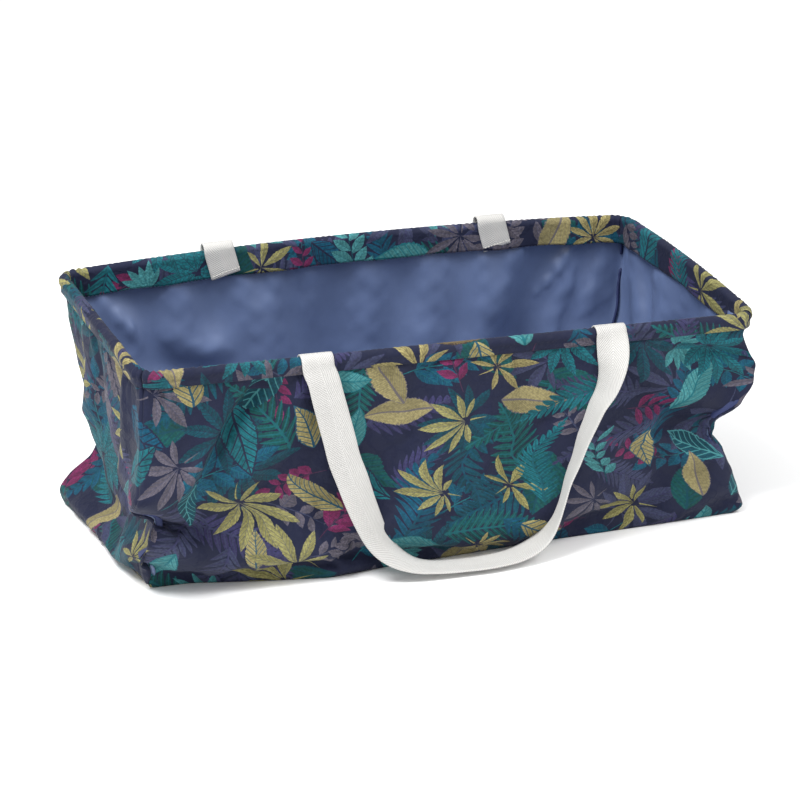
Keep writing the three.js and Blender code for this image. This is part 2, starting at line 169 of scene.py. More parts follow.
def sprung(x, y):
    """How far the wire holds a place of the square rim along X."""
    a, b = x / RAIL_X, y / RAIL_Y
    return (SPRING_FRONT_RIGHT * np.maximum(a, 0) * (1 - b)
            - SPRING_BACK_LEFT * np.maximum(-a, 0) * (1 + b)) / 2


def unit(vectors):
    return vectors / np.linalg.norm(vectors, axis=-1, keepdims=True)


def lengths_along(points):
    """The length of a line of points up to each of them."""
    return np.concatenate([[0], np.cumsum(np.linalg.norm(np.diff(points, axis=0), axis=1))])


def extended(points):
    """The points with one more at each end, straight on."""
    return np.concatenate([2 * points[:1] - points[1:2], points, 2 * points[-1:] - points[-2:-1]])


def cut_map(u, v):
    return np.stack(np.broadcast_arrays(u, v), axis=-1)


def smoothstep(x, low, high):
    t = np.clip((x - low) / (high - low), 0, 1)
    return t * t * (3 - 2 * t)


def ripple(x, y, seed, wavelength, terms=7):
    """A smooth random height from about -1 to 1, the same on every run."""
    draw = random.Random(seed)
    total = 0
    for _ in range(terms):
        turn = draw.uniform(0, math.pi)
        pace = 2 * math.pi / (wavelength * draw.uniform(0.65, 1.5))
        shift = draw.uniform(0, 2 * math.pi)
        total = total + np.sin((x * math.cos(turn) + y * math.sin(turn)) * pace + shift)
    return total / math.sqrt(terms)


# ---------------------------------------------------------------- the walls' line
# Corner seams: height fraction, then x and y in millimetres.
SEAMS = {
    "front_left": [(0, -264, -90), (0.06, -270, -106), (0.18, -274, -116), (0.30, -272, -120),
                   (0.38, -268, -117), (0.46, -288, -137), (0.53, -292, -140), (0.63, -286, -134),
                   (0.76, -278, -127), (0.89, -274, -121), (1, -276, -122)],
    "front_right": [(0, 278, -120), (0.04, 284, -121), (0.16, 276, -121), (0.33, 265, -120),
                    (0.43, 254, -117), (0.50, 255, -117), (0.57, 274, -121), (0.66, 286, -124),
                    (0.78, 290, -125), (0.87, 282, -122), (0.92, 278, -120), (1, 287, -122)],
    "back_right": [(0, 279, 121), (0.1, 283, 122), (0.3, 274, 121), (0.45, 265, 119),
                   (0.62, 272, 121), (0.8, 279, 122), (1, 276, 122)],
    "back_left": [(0, -286, 120), (0.06, -290, 119), (0.125, -284, 119), (0.2, -264, 118),
                  (0.31, -250, 119), (0.5, -256, 121), (0.75, -267, 122), (0.86, -273, 122),
                  (1, -281, 122)],
}
WALLS = {
    "front": ("front_left", "front_right", (0, -1)),
    "right_end": ("front_right", "back_right", (1, 0)),
    "back": ("back_right", "back_left", (0, 1)),
    "left_end": ("back_left", "front_left", (-1, 0)),
}
BELLY = {"front": 4, "right_end": 7, "back": 5, "left_end": 3}

# The front wall's lower edge, x then y in millimetres: its left corner is pushed in.
FRONT_FOOT = [(-264, -90), (-230, -93), (-175, -110), (-115, -125), (-59, -121), (90, -118),
              (202, -120), (278, -120)]

# Soft folds: place along the wall and height, both from the wall's own middle and the floor in
# millimetres, the fold's lean in degrees, half length, half width, and how far it stands out.
FOLDS = {
    "front": [
        (-262, 116, 10, 42, 28, 15), (-260, 80, -28, 50, 10, -17), (-196, 150, 55, 38, 9, -17),
        (-222, 128, 62, 30, 10, 6), (-232, 52, -12, 60, 18, 5), (-160, 178, 20, 30, 10, -4),
        (-178, 108, 40, 30, 14, 5), (-120, 90, -62, 50, 18, -4), (-60, 120, 12, 80, 22, 3),
        (215, 108, 156, 58, 11, -15), (228, 78, 150, 60, 20, 8), (238, 158, 172, 50, 6, -9),
        (236, 172, 176, 60, 8, 4), (185, 140, 150, 50, 14, 6), (120, 60, 15, 90, 20, 4),
        (40, 165, -8, 70, 12, -3), (30, 40, 4, 110, 14, 3),
    ],
    "right_end": [
        (-70, 100, 30, 50, 12, -9), (10, 130, -40, 60, 14, 7), (60, 90, 50, 60, 14, -6),
        (-40, 60, -20, 60, 16, 6), (70, 150, 70, 40, 9, 5),
    ],
    "back": [
        # Along runs from the back right corner to the back left one.
        (-132, 130, -68, 95, 22, -8), (-186, 130, -78, 85, 24, 9), (-205, 168, -58, 46, 5, -5),
        (-232, 150, -82, 60, 8, 5), (196, 152, 22, 74, 15, -9), (170, 118, 8, 70, 13, 8),
        (110, 160, -30, 60, 12, -5), (40, 110, 62, 70, 20, 5), (-40, 150, -80, 70, 24, 5),
        (235, 170, 60, 30, 7, -5), (0, 60, 10, 120, 20, -5),
    ],
    "left_end": [
        (-60, 118, 30, 50, 12, 6), (20, 70, 4, 90, 9, -7), (40, 110, 70, 46, 9, -5),
        (60, 40, -10, 60, 14, 6), (-20, 150, 80, 40, 10, -4),
    ],
}


def seam_at(name, v):
    heights, xs, ys = (np.array(column, float) for column in zip(*SEAMS[name]))
    return np.interp(v, heights, xs) * MM, np.interp(v, heights, ys) * MM


def fold_height(name, along, height):
    total = np.zeros_like(along)
    for x, z, lean, length, width, out in FOLDS[name]:
        a = math.radians(lean)
        dx, dz = along / MM - x, height / MM - z
        run = dx * math.cos(a) + dz * math.sin(a)
        side = -dx * math.sin(a) + dz * math.cos(a)
        total += out * MM * np.exp(-((run / length) ** 2) - (side / width) ** 2)
    return total


def guide_wall(name):
    """The wall before it settles, levels by columns, without its last column."""
    start, end, (out_x, out_y) = WALLS[name]
    columns = WALL_COLUMNS[name]
    a, v = np.meshgrid(np.arange(columns) / columns, np.arange(LEVELS + 1) / LEVELS)
    (x0, y0), (x1, y1) = seam_at(start, v), seam_at(end, v)
    x, y = x0 + (x1 - x0) * a, y0 + (y1 - y0) * a
    height = v * (crest(x, y) - 6 * MM)
    if name == "front":
        foot_x, foot_y = (np.array(c, float) * MM for c in zip(*FRONT_FOOT))
        y += (np.interp(x, foot_x, foot_y) - y) * (1 - smoothstep(v, 0, 0.3))
    free = np.sin(math.pi * np.clip(v, 0, 1)) ** 0.6
    out = BELLY[name] * MM * np.sin(math.pi * v) * np.sin(math.pi * a)
    out += fold_height(name, (a - 0.5) * WALL_CUT[name], height) * smoothstep(v, 1.0, 0.86)
    seed = sum(ord(letter) for letter in name)
    out += 1.6 * MM * ripple(a * WALL_CUT[name], height, seed, 0.075) * free
    x, y = x + out_x * out, y + out_y * out
    # The upper edge follows the wire round its bends.
    edge_x, edge_y, bend = RAIL_X + EDGE_OUT, RAIL_Y + EDGE_OUT, WIRE_BEND + EDGE_OUT
    over_x = np.abs(x - sprung(x, y)) - (edge_x - bend)
    over_y = np.abs(y) - (edge_y - bend)
    round_off = (over_x > 0) & (over_y > 0)
    reach = np.hypot(over_x, over_y) + 1e-9
    share = np.where(round_off, smoothstep(v, 0.86, 0.98), 0) * np.clip(1 - bend / reach, 0, 1)
    x -= np.sign(x) * over_x * share
    y -= np.sign(y) * over_y * share
    return np.stack([x, y, height], axis=-1)


SETTLING_FRAMES = 26


def settle(grid):
    """The slack cloth buckles and sags between its casing, its corner seams and the base seam."""
    levels, columns = grid.shape[:2]
    index = np.arange(levels * columns).reshape(levels, columns)
    right = np.roll(index, -1, axis=1)
    quads = np.stack([index[:-1], right[:-1], right[1:], index[1:]], axis=-1).reshape(-1, 4)
    cloth = new_piece("settling", grid.reshape(-1, 3), quads)
    held = np.full((levels, columns), 0.05)
    held[:, CORNER_COLUMNS] = 0.5
    held[[0, -1, -2]] = 1.0
    held[1] = 0.4
    group = cloth.vertex_groups.new(name="held")
    for weight in np.unique(held):
        group.add(index[held == weight].tolist(), float(weight), "REPLACE")
    modifier = cloth.modifiers.new("slack cloth", "CLOTH")
    modifier.collision_settings.use_collision = False
    settings = modifier.settings
    settings.quality, settings.mass = 8, 0.25
    settings.tension_stiffness = settings.compression_stiffness = 25
    settings.shear_stiffness, settings.bending_stiffness = 10, 18
    settings.vertex_group_mass, settings.pin_stiffness = "held", 1.0
    settings.shrink_min = -0.03
    for number in range(1, SETTLING_FRAMES + 1):
        scene.frame_set(number)
    settled = cloth.evaluated_get(bpy.context.evaluated_depsgraph_get())
    co = np.empty(levels * columns * 3)
    settled.data.vertices.foreach_get("co", co)
    scene.frame_set(1)
    bpy.data.objects.remove(cloth)
    return co.reshape(grid.shape)


def refine(grid, axis, closed):
    """FINER points for each one, on a smooth curve through them."""
    grid = np.moveaxis(grid, axis, 0)
    near = ([np.roll(grid, shift, axis=0) for shift in (1, 0, -1, -2)] if closed
            else [extended(grid)[i:i + len(grid) - 1] for i in range(4)])
    steps = []
    for t in np.arange(FINER) / FINER:
        weights = (-t + 2 * t**2 - t**3, 2 - 5 * t**2 + 3 * t**3, t + 4 * t**2 - 3 * t**3,
                   t**3 - t**2)
        steps.append(sum(0.5 * w * p for w, p in zip(weights, near)))
    fine = np.stack(steps, axis=1).reshape(-1, *grid.shape[1:])
    if not closed:
        fine = np.concatenate([fine, grid[-1:]])
    return np.moveaxis(fine, 0, axis)


def outward(grid):
    """Unit normals of a closed loop of columns, pointing out of the bag."""
    along = np.roll(grid, -1, axis=1) - np.roll(grid, 1, axis=1)
    normal = np.cross(along, np.gradient(grid, axis=0))
    return normal / (np.linalg.norm(normal, axis=-1, keepdims=True) + 1e-12)


def make_shell():
    """The walls' outer face as one closed grid, its way out, and its place on the flat cut."""
    coarse = np.concatenate([guide_wall(name) for name in WALLS], axis=1)
    coarse = settle(coarse)
    grid = refine(refine(coarse, 1, True), 0, False)
    levels, columns = grid.shape[:2]
    v = np.linspace(0, 1, levels)[:, None]
    cut = np.concatenate([
        CORNER_STARTS[name] + np.arange(count * FINER) * WALL_CUT[name] / (count * FINER)
        for name, count in WALL_COLUMNS.items()])[None, :]
    # Gathers hang from the casing, closest on the left end and round the front left corner.
    below = (1 - v) * CUT_HEIGHT
    to_left = np.minimum(cut, GIRTH - cut)
    gathered = 0.25 + smoothstep(to_left, 0.10, 0.02) + smoothstep(cut, GIRTH - 0.27, GIRTH - 0.22)
    gather = np.sin(cut / GATHER_PITCH * 2 * math.pi + 2.2 * ripple(cut, 0 * cut, 5, 0.05))
    gather = gather * (0.6 + 0.4 * ripple(cut, 0 * cut, 6, 0.03))
    fade = np.exp(-below / GATHER_FADE) * smoothstep(below, 0, 6 * MM)
    small = ripple(cut, below, 8, 0.024) * smoothstep(v, 0, 0.1) * smoothstep(v, 1, 0.9)
    out = GATHER_DEPTH * np.clip(gathered, 0, 1.2) * gather * fade + 0.35 * MM * small
    # Each corner is a sewn seam.
    for corner in CORNER_STARTS.values():
        away = np.abs((cut - corner + GIRTH / 2) % GIRTH - GIRTH / 2)
        out = out - SEAM_DEPTH * np.exp(-((away / SEAM_HALF_WIDTH) ** 2)) * smoothstep(v, 1, 0.93)
    grid = grid + outward(grid) * out[..., None]
    grid[..., 2] = np.maximum(grid[..., 2], 0)
    grid[0, :, 2] = 0
    return grid, outward(grid), cut_map(cut, v * CUT_HEIGHT)


def lining_line(grid):
    """The shell with its outward ridges eased inward, so that the lining stays within them."""
    soft = grid.copy()
    for _ in range(12):
        soft = (2 * soft + np.roll(soft, 1, axis=1) + np.roll(soft, -1, axis=1)) / 4
        soft[1:-1] = (2 * soft[1:-1] + soft[:-2] + soft[2:]) / 4
    normal = outward(soft)
    line = grid + normal * np.minimum(((soft - grid) * normal).sum(axis=-1, keepdims=True), 0)
    # At the foot of each corner it draws in toward the middle of the bag.
    count = grid.shape[1]
    apart = np.abs((np.arange(count)[:, None] - CORNER_COLUMNS * FINER + count / 2) % count - count / 2)
    beside = np.exp(-((apart.min(axis=1) / DRAW_IN_COLUMNS) ** 2))
    draw_in = DRAW_IN * beside * smoothstep(grid[..., 2], 38 * MM, 20 * MM)
    line[..., :2] -= np.sign(line[..., :2]) * draw_in[..., None] * math.sqrt(0.5)
    return line, normal


# ---------------------------------------------------------------- meshes
def closed_sheet(name, outer, inner, flat):
    """A thin closed sheet between two grids. flat is its cut, in metres, kept as a UV map."""
    rows, columns = outer.shape[:2]
    count = rows * columns
    index = np.arange(count).reshape(rows, columns)
    face = np.stack([index[:-1, :-1], index[:-1, 1:], index[1:, 1:], index[1:, :-1]], axis=-1)
    edges = [(index[0, 1:], index[0, :-1]), (index[1:, -1], index[:-1, -1]),
             (index[-1, :-1], index[-1, 1:]), (index[:-1, 0], index[1:, 0])]
    rims = [np.stack([a, b, b + count, a + count], axis=-1) for a, b in edges]
    quads = np.concatenate([face.reshape(-1, 4), face.reshape(-1, 4)[:, ::-1] + count, *rims])
    piece = new_piece(name, np.concatenate([outer.reshape(-1, 3), inner.reshape(-1, 3)]), quads)
    cut = np.concatenate([flat.reshape(-1, 2)] * 2)[quads.ravel()]
    piece.data.uv_layers.new(name="cut").data.foreach_set("uv", cut.astype(np.float32).ravel())
    return piece, face.size // 4


# ---------------------------------------------------------------- printed leaves
INK = {
    "olive": "#b9b473", "straw": "#c4b77c", "teal": "#1d808d", "aqua": "#58abb0",
    "deep_teal": "#0f5668", "ochre": "#94805a", "umber": "#3a2f33", "mauve": "#77717f",
    "slate": "#495072", "magenta": "#8f3068", "petrol": "#0f6080", "green": "#136060",
    "navy": "#26284a", "violet": "#454274", "pale": "#aebfb8", "plum": "#5c365a",
}


def linear(code):
    parts = [int(code[i:i + 2], 16) / 255 for i in (1, 3, 5)]
    return tuple(p / 12.92 if p <= 0.04045 else ((p + 0.055) / 1.055) ** 2.4 for p in parts)


class Blade:
    """One printed leaf blade: where it starts on the cloth, its way, size, outline and inks."""

    def __init__(self, x, y, turn, length, width, ink, vein, power=0.9, bend=0.0, split=0.0,
                 veins=9, strength=0.8, rim=0.0, slant=0.2):
        self.x, self.y, self.turn, self.length, self.width = x, y, turn, length, width
        self.slant = slant
        self.facts = {"form": (power, bend, split), "vein": (veins, strength, rim),
                      "ink": linear(INK[ink]), "vein_ink": linear(INK[vein])}

    def local(self, points):
        c, s = math.cos(self.turn), math.sin(self.turn)
        dx, dy = points[..., 0] - self.x, points[..., 1] - self.y
        return (dx * c + dy * s) / self.length, (dy * c - dx * s) / (self.width / 2)


# Each kind of leaf takes the draw, where it starts, its way, its size and its inks.
def palmate(draw, x, y, turn, size, *inks):
    count = draw.choice((6, 7, 8))
    spread = math.radians(draw.uniform(105, 140))
    blades = []
    for i in range(count):
        t = i / (count - 1) * 2 - 1
        length = size * (0.98 - 0.42 * abs(t) ** 1.4) * draw.uniform(0.9, 1.05)
        blades.append(Blade(x, y, turn + t * spread, length, length * draw.uniform(0.19, 0.25), *inks,
                            power=1.25, bend=-0.3 * t, veins=8, strength=0.55, slant=0.22))
    stem = Blade(x, y, turn + math.pi + draw.uniform(-0.3, 0.3), size * 0.45, 1.6 * MM, *inks,
                 power=0.5, veins=0, strength=0)
    draw.shuffle(blades)
    return blades + [stem]


def broad_leaf(draw, x, y, turn, size, *inks):
    return [Blade(x, y, turn, size, size * draw.uniform(0.42, 0.54), *inks,
                  power=draw.uniform(0.7, 0.95), bend=draw.uniform(-0.25, 0.25),
                  veins=draw.choice((7, 8, 9)), strength=0.95, rim=draw.choice((0.0, 0.09)),
                  slant=0.26)]


def feather_leaf(draw, x, y, turn, size, *inks):
    return [Blade(x, y, turn, size, size * 0.42, *inks, power=0.8, bend=draw.uniform(-0.2, 0.2),
                  veins=24, strength=0.85, rim=0.05, slant=0.34)]


def fern(draw, x, y, turn, size, *inks):
    return [Blade(x, y, turn, size, size * draw.uniform(0.34, 0.46), *inks,
                  power=draw.uniform(0.6, 0.8), bend=draw.uniform(-0.35, 0.35), split=1.0,
                  veins=draw.choice((11, 13, 15)), strength=0.5, slant=0.16)]


def sprig(draw, x, y, turn, size, ink, vein):
    blades = [Blade(x, y, turn, size, 1.3 * MM, vein, vein, power=0.6, veins=0, strength=0)]
    pairs = draw.choice((3, 4, 5))
    c, s = math.cos(turn), math.sin(turn)
    for i in range(pairs):
        for side in (-1, 1):
            at = size * (0.22 + 0.66 * (i + 0.25 * (side > 0)) / pairs)
            length = size * draw.uniform(0.30, 0.38) * (1 - 0.35 * i / pairs)
            blades.append(Blade(x + at * c, y + at * s, turn + side * draw.uniform(0.75, 1.0),
                                length, length * 0.44, ink, vein, power=0.95,
                                veins=6, strength=0.5))
    blades.append(Blade(x + size * 0.92 * c, y + size * 0.92 * s, turn, size * 0.3, size * 0.13,
                        ink, vein, power=0.9, veins=6, strength=0.5))
    return blades


def fan(draw, x, y, turn, size, *inks):
    count = draw.choice((9, 10, 11))
    spread = math.radians(draw.uniform(110, 165))
    return [Blade(x, y, turn + t * spread, size * draw.uniform(0.5, 0.62) * (1 - 0.2 * abs(t)),
                  size * 0.13, *inks, power=1.2, veins=10, strength=0.6, slant=0.12)
            for t in (i / (count - 1) * 2 - 1 for i in range(count))]


# What grows on top, then beneath: kind of leaf, ink, vein ink and size.
UPPER = [
    (palmate, "olive", "slate", 54), (fan, "teal", "navy", 84), (broad_leaf, "aqua", "teal", 62),
    (palmate, "straw", "umber", 50), (feather_leaf, "ochre", "umber", 78),
    (sprig, "aqua", "deep_teal", 74), (broad_leaf, "straw", "petrol", 56),
    (sprig, "magenta", "plum", 58), (palmate, "olive", "umber", 56), (fan, "aqua", "teal", 70),
    (broad_leaf, "teal", "navy", 70), (sprig, "mauve", "navy", 64), (fern, "teal", "deep_teal", 96),
    (palmate, "mauve", "slate", 54), (feather_leaf, "straw", "mauve", 72),
    (broad_leaf, "deep_teal", "aqua", 60),
]
LOWER = [
    (fern, "deep_teal", "petrol", 120), (sprig, "petrol", "teal", 86), (fern, "slate", "violet", 110),
    (fern, "petrol", "deep_teal", 112), (palmate, "slate", "violet", 70), (fan, "deep_teal", "navy", 96),
    (sprig, "mauve", "slate", 70), (broad_leaf, "petrol", "navy", 66), (fern, "green", "teal", 110),
    (sprig, "magenta", "plum", 64), (broad_leaf, "green", "deep_teal", 76), (fern, "violet", "slate", 104),
]


WALL_SEED, BASE_SEED, BAND_SEED = 31, 47, 59
PITCHES, BAND_PITCHES = (0.054, 0.050), (0.050, 0.046)   # between leaves, on top and beneath
JITTER = 0.28


def lay_out(seed, width, height, pitches=PITCHES):
    """Blades over a cut of cloth, the topmost first. The cloth joins up round its width."""
    draw = random.Random(seed)
    blades = []
    for kinds, pitch, shift in zip((UPPER, LOWER), pitches, (0.0, 0.5)):
        columns = max(1, round(width / pitch))
        rows = max(1, round(height / pitch)) + 1
        hand, motifs = [], []
        for j in range(rows):
            for i in range(columns):
                hand = hand or draw.sample(kinds, len(kinds))
                make, ink, vein, size = hand.pop()
                x = (i + shift + 0.5 * (j % 2) + draw.uniform(-JITTER, JITTER)) * width / columns
                y = (j - 0.25 + draw.uniform(-JITTER, JITTER)) * height / (rows - 1 or 1)
                turn = draw.uniform(0, 2 * math.pi)
                scale = draw.uniform(0.72, 1.05) * size * MM
                back = 0.35 * scale if make not in (palmate, fan) else 0.0
                x, y = x - back * math.cos(turn), y - back * math.sin(turn)
                motifs.append(make(draw, x % width, y, turn, scale, ink, vein))
        draw.shuffle(motifs)
        blades += [blade for motif in motifs for blade in motif]
    return blades


LAYERS = 4


def print_leaves(piece, printed, blades, width):
    """Each printed face keeps the blades that lie on it, the topmost first, for the dye."""
    mesh = piece.data
    total = len(mesh.polygons)
    uv = np.empty(len(mesh.loops) * 2, np.float32)
    mesh.uv_layers["cut"].data.foreach_get("uv", uv)
    corners = uv.reshape(-1, 4, 2)[:printed].astype(float)
    middle = corners.mean(axis=1)
    radius = np.abs(corners - middle[:, None]).sum(axis=2).max(axis=1)
    leaf = np.full((LAYERS, total, 4, 3), -1.0, np.float32)
    facts = {name: np.zeros((LAYERS, total, 3), np.float32)
             for name in ("form", "vein", "ink", "vein_ink")}
    used = np.zeros(printed, int)
    low, high = middle.min(axis=0) - 0.01, middle.max(axis=0) + 0.01
    for blade in blades:
        for lap in (-width, 0, width):
            if not (low[0] - blade.length < blade.x + lap < high[0] + blade.length
                    and low[1] - blade.length < blade.y < high[1] + blade.length):
                continue
            shifted = np.array([lap, 0.0])
            s, t = blade.local(middle - shifted)
            power, bend, split = blade.facts["form"]
            inside = np.clip(s, 0, 1)
            t = t - bend * 4 * inside * (1 - inside)
            profile = np.sin(math.pi * inside ** power)
            wide, long = 2 * radius / blade.width, radius / blade.length
            near = (s > -long) & (s < 1 + long) & (np.abs(t) < profile * 1.1 + wide * 1.6)
            hit = np.flatnonzero(near & (used < LAYERS))
            if not len(hit):
                continue
            cs, ct = blade.local(corners[hit] - shifted)
            slot = used[hit]
            leaf[slot, hit] = np.stack([cs, ct, np.full_like(cs, blade.slant)], axis=-1)
            for name, value in blade.facts.items():
                facts[name][slot, hit] = value
            covered = (s[hit] > long[hit]) & (s[hit] < 1 - long[hit]) \
                & (np.abs(t[hit]) < profile[hit] * 0.85 - wide[hit] * 1.6) & (split == 0)
            used[hit] = np.where(covered, LAYERS, slot + 1)
    for layer in range(LAYERS):
        attribute = mesh.attributes.new(f"leaf_{layer}", "FLOAT_VECTOR", "CORNER")
        attribute.data.foreach_set("vector", leaf[layer].ravel())
        for name, values in facts.items():
            attribute = mesh.attributes.new(f"{name}_{layer}", "FLOAT_VECTOR", "FACE")
            attribute.data.foreach_set("vector", values[layer].ravel())


# ---------------------------------------------------------------- dye, weave, painted shade and other finishes
def sign(operation, swapped=False):
    def act(self, *others):
        return self.w.math(operation, *others, self) if swapped else self.w.math(operation, self, *others)
    return act


class Value:
    """What a socket puts out. Each sign in a sum of values adds one math node."""

    def __init__(self, w, socket):
        self.w, self.socket = w, socket

    __add__ = __radd__ = sign("ADD")
    __mul__ = __rmul__ = sign("MULTIPLY")
    __sub__, __rsub__ = sign("SUBTRACT"), sign("SUBTRACT", swapped=True)
    __truediv__, __pow__ = sign("DIVIDE"), sign("POWER")
    __gt__, __lt__, __abs__ = sign("GREATER_THAN"), sign("LESS_THAN"), sign("ABSOLUTE")


class Outputs:
    """A node's outputs as values, by name or in order."""

    def __init__(self, w, node):
        self.w, self.sockets = w, node.outputs

    def __getitem__(self, name):
        return Value(self.w, self.sockets[name])


class Wiring:
    """Short ways to place and join nodes in one tree."""

    def __init__(self, tree):
        self.tree = tree

    def node(self, kind, **settings):
        node = self.tree.nodes.new(kind)
        for key, value in settings.items():
            setattr(node, key, value)
        return node

    def join(self, value, socket):
        if isinstance(value, Value):
            self.tree.links.new(value.socket, socket)
        elif value is not None:
            socket.default_value = value

    def step(self, kind, settings=None, **inputs):
        """One node with its inputs joined."""
        node = self.node(kind, **(settings or {}))
        for label, value in inputs.items():
            self.join(value, node.inputs[label.replace("_", " ")])
        return Outputs(self, node)

    def in_order(self, node, *values):
        for value, socket in zip(values, node.inputs):
            self.join(value, socket)
        return Value(self, node.outputs[0])

    def math(self, operation, *values):
        return self.in_order(self.node("ShaderNodeMath", operation=operation), *values)

    def sine(self, value):
        return self.math("SINE", value)

    def least(self, a, b):
        return self.math("MINIMUM", a, b)

    def most(self, a, b):
        return self.math("MAXIMUM", a, b)

    def mix(self, factor, a, b, blend="MIX"):
        node = self.node("ShaderNodeMix", data_type="RGBA", blend_type=blend)
        self.join(factor, node.inputs["Factor"])
        self.join(a, node.inputs[6])
        self.join(b, node.inputs[7])
        return Value(self, node.outputs[2])

    def ramp(self, value, low, high, to_low=0.0, to_high=1.0):
        node = self.node("ShaderNodeMapRange", interpolation_type="SMOOTHSTEP")
        return self.in_order(node, value, low, high, to_low, to_high)

    def noise(self, vector, scale, detail=2.0, roughness=0.5):
        return self.step("ShaderNodeTexNoise", Vector=vector, Scale=scale, Detail=detail,
                         Roughness=roughness)["Fac"]

    def split(self, vector):
        return self.step("ShaderNodeSeparateXYZ", Vector=vector)

    def bump(self, height, distance, strength, normal=None):
        return self.step("ShaderNodeBump", Strength=strength, Distance=distance, Height=height,
                         Normal=normal)["Normal"]

    def group(self, group, **values):
        return self.step("ShaderNodeGroup", {"node_tree": group}, **values)

    def toned(self, colour, *tones):
        for tone in tones:
            grey = self.step("ShaderNodeCombineColor", Red=tone, Green=tone, Blue=tone)["Color"]
            colour = self.mix(1.0, colour, grey, "MULTIPLY")
        return colour

    def attribute(self, name):
        return self.step("ShaderNodeAttribute", {"attribute_name": name})["Vector"]

    def place(self):
        return self.step("ShaderNodeTexCoord")["Object"]

    def cut(self):
        return self.step("ShaderNodeUVMap", {"uv_map": "cut"})["UV"]


BLACK, WHITE = (0, 0, 0, 1), (1, 1, 1, 1)


def new_group(name, inputs, outputs, kind="Shader"):
    """An empty group. An input is a kind of socket, or a number or colour that it starts from."""
    tree = bpy.data.node_groups.new(name, f"{kind}NodeTree")
    for label, start in inputs.items():
        form = start if isinstance(start, str) else {float: "Float", int: "Int", tuple: "Color"}[type(start)]
        socket = tree.interface.new_socket(label, in_out="INPUT", socket_type=f"NodeSocket{form}")
        if start != form:
            socket.default_value = start
    for label, form in outputs.items():
        tree.interface.new_socket(label, in_out="OUTPUT", socket_type=f"NodeSocket{form}")
    w = Wiring(tree)
    return w, w.step("NodeGroupInput"), w.node("NodeGroupOutput").inputs


def make_leaf_group():
    """One printed blade over the colour beneath: outline, midrib, side veins and brush marks."""
    w, given, out = new_group(
        "printed leaf",
        {"Below": BLACK, "Leaf": "Vector", "Form": "Vector", "Vein": "Vector", "Ink": WHITE,
         "Vein Ink": BLACK, "Grain": 0.5},
        {"Color": "Color"})
    along, across, slant = w.split(given["Leaf"])
    power, bend, divided = w.split(given["Form"])
    veins, strength, rim = w.split(given["Vein"])
    grain = given["Grain"]
    s = w.most(w.least(along, 1.0), 0.0)
    t = across - bend * (s * (1.0 - s) * 4.0)
    away = abs(t)
    profile = w.sine(s ** power * math.pi)
    torn = (grain - 0.5) * 0.34
    margin = profile * (1.0 + torn) - away
    inside = (margin > 0.0) * ((along > 0.0) * (along < 1.0))
    # Side veins run forward from the midrib; in a divided leaf they part into leaflets.
    run = (along - slant * away) * veins
    phase = abs(w.math("FRACT", run) - 0.5)
    side_vein = phase < 0.05 + grain * 0.07
    reach = w.least(away / (profile + 0.001), 1.0)
    leaflet = phase < w.sine(reach ** 0.6 * math.pi) ** 0.7 * 0.43
    mask = inside * w.most(1.0 - divided, w.most(leaflet, away < 0.045))
    midrib = (away < 0.085 - s * 0.05) * (veins > 0.5)
    lines = w.most(w.most(midrib, side_vein), margin < rim) * strength
    # Brush marks: darker on one half, streaked along the side veins.
    shade = w.ramp(grain, 0.3, 0.7, 0.70, 1.16) + w.sine(run * 11.0) * 0.10
    shade = shade * w.ramp(t, -0.05, 0.05, 0.84, 1.08)
    painted = w.mix(lines, w.toned(given["Ink"], shade), given["Vein Ink"])
    w.join(w.mix(mask, given["Below"], painted), out["Color"])
    return w.tree


def make_weave_group():
    """Warp and weft of a plain cloth: a height, and a small change of tone."""
    w, given, out = new_group(
        "plain weave", {"Cut": "Vector", "Threads per Metre": 1800.0}, {"Height": "Float", "Tone": "Float"})
    x, y, _ = w.split(given["Cut"])
    pace = given["Threads per Metre"] * math.pi
    height = w.math("MULTIPLY_ADD", w.sine(x * pace) * w.sine(y * pace), 0.5, 0.5)
    w.join(height, out["Height"])
    w.join(w.ramp(height, 0.0, 1.0, 0.93, 1.05), out["Tone"])
    return w.tree


def make_crease_and_shade_group():
    """Soft wear on cloth that was folded: broad rumples and fine crinkles as a height, and painted shade and
    light as a tone, darker where the broad rumples sink and lighter where they rise.
    """
    w, given, out = new_group(
        "handled cloth with painted shade", {"Place": "Vector", "Crinkle": 0.4}, {"Height": "Float", "Fade": "Float"})
    place = given["Place"]
    broad = w.noise(place, 26.0, 3.0, 0.55)
    ridge = w.ramp(abs(w.noise(place, 48.0, 3.0, 0.6) - 0.5), 0.0, 0.09, 1.0, 0.0)
    fine = w.noise(place, 260.0, 3.0, 0.6)
    w.join(broad + ridge * given["Crinkle"] + fine * 0.06, out["Height"])
    # Painted shade and light: the tone is darker where the broad rumples sink and lighter where they rise.
    w.join(w.ramp(broad, 0.3, 0.72, 0.92, 1.08), out["Fade"])
    return w.tree


YARN_PITCH, RIB_PITCH, RIB_SLOPE = 0.0009, 0.0024, 1.15


def make_herringbone_group():
    """Webbing woven in chevrons about its middle, with a tight selvedge."""
    w, given, out = new_group(
        "herringbone", {"Cut": "Vector", "Width": WEBBING_WIDTH, "Rib": RIB_PITCH},
        {"Height": "Float", "Tone": "Float"})
    x, y, _ = w.split(given["Cut"])
    away = abs(x)
    rib = w.sine((y + away * RIB_SLOPE) / given["Rib"] * (2 * math.pi))
    yarn = w.sine(x * (2 * math.pi / YARN_PITCH))
    selvedge = w.ramp(given["Width"] * 0.5 - away, 0.0006, 0.0022)
    spine = w.ramp(away, 0.0, 0.0006)
    w.join((rib * 0.4 + yarn * 0.16) * (selvedge * spine) + 0.5, out["Height"])
    w.join(w.ramp(rib, -0.8, 0.3, 0.80, 1.02) * w.ramp(selvedge, 0.0, 1.0, 0.93, 1.0), out["Tone"])
    return w.tree


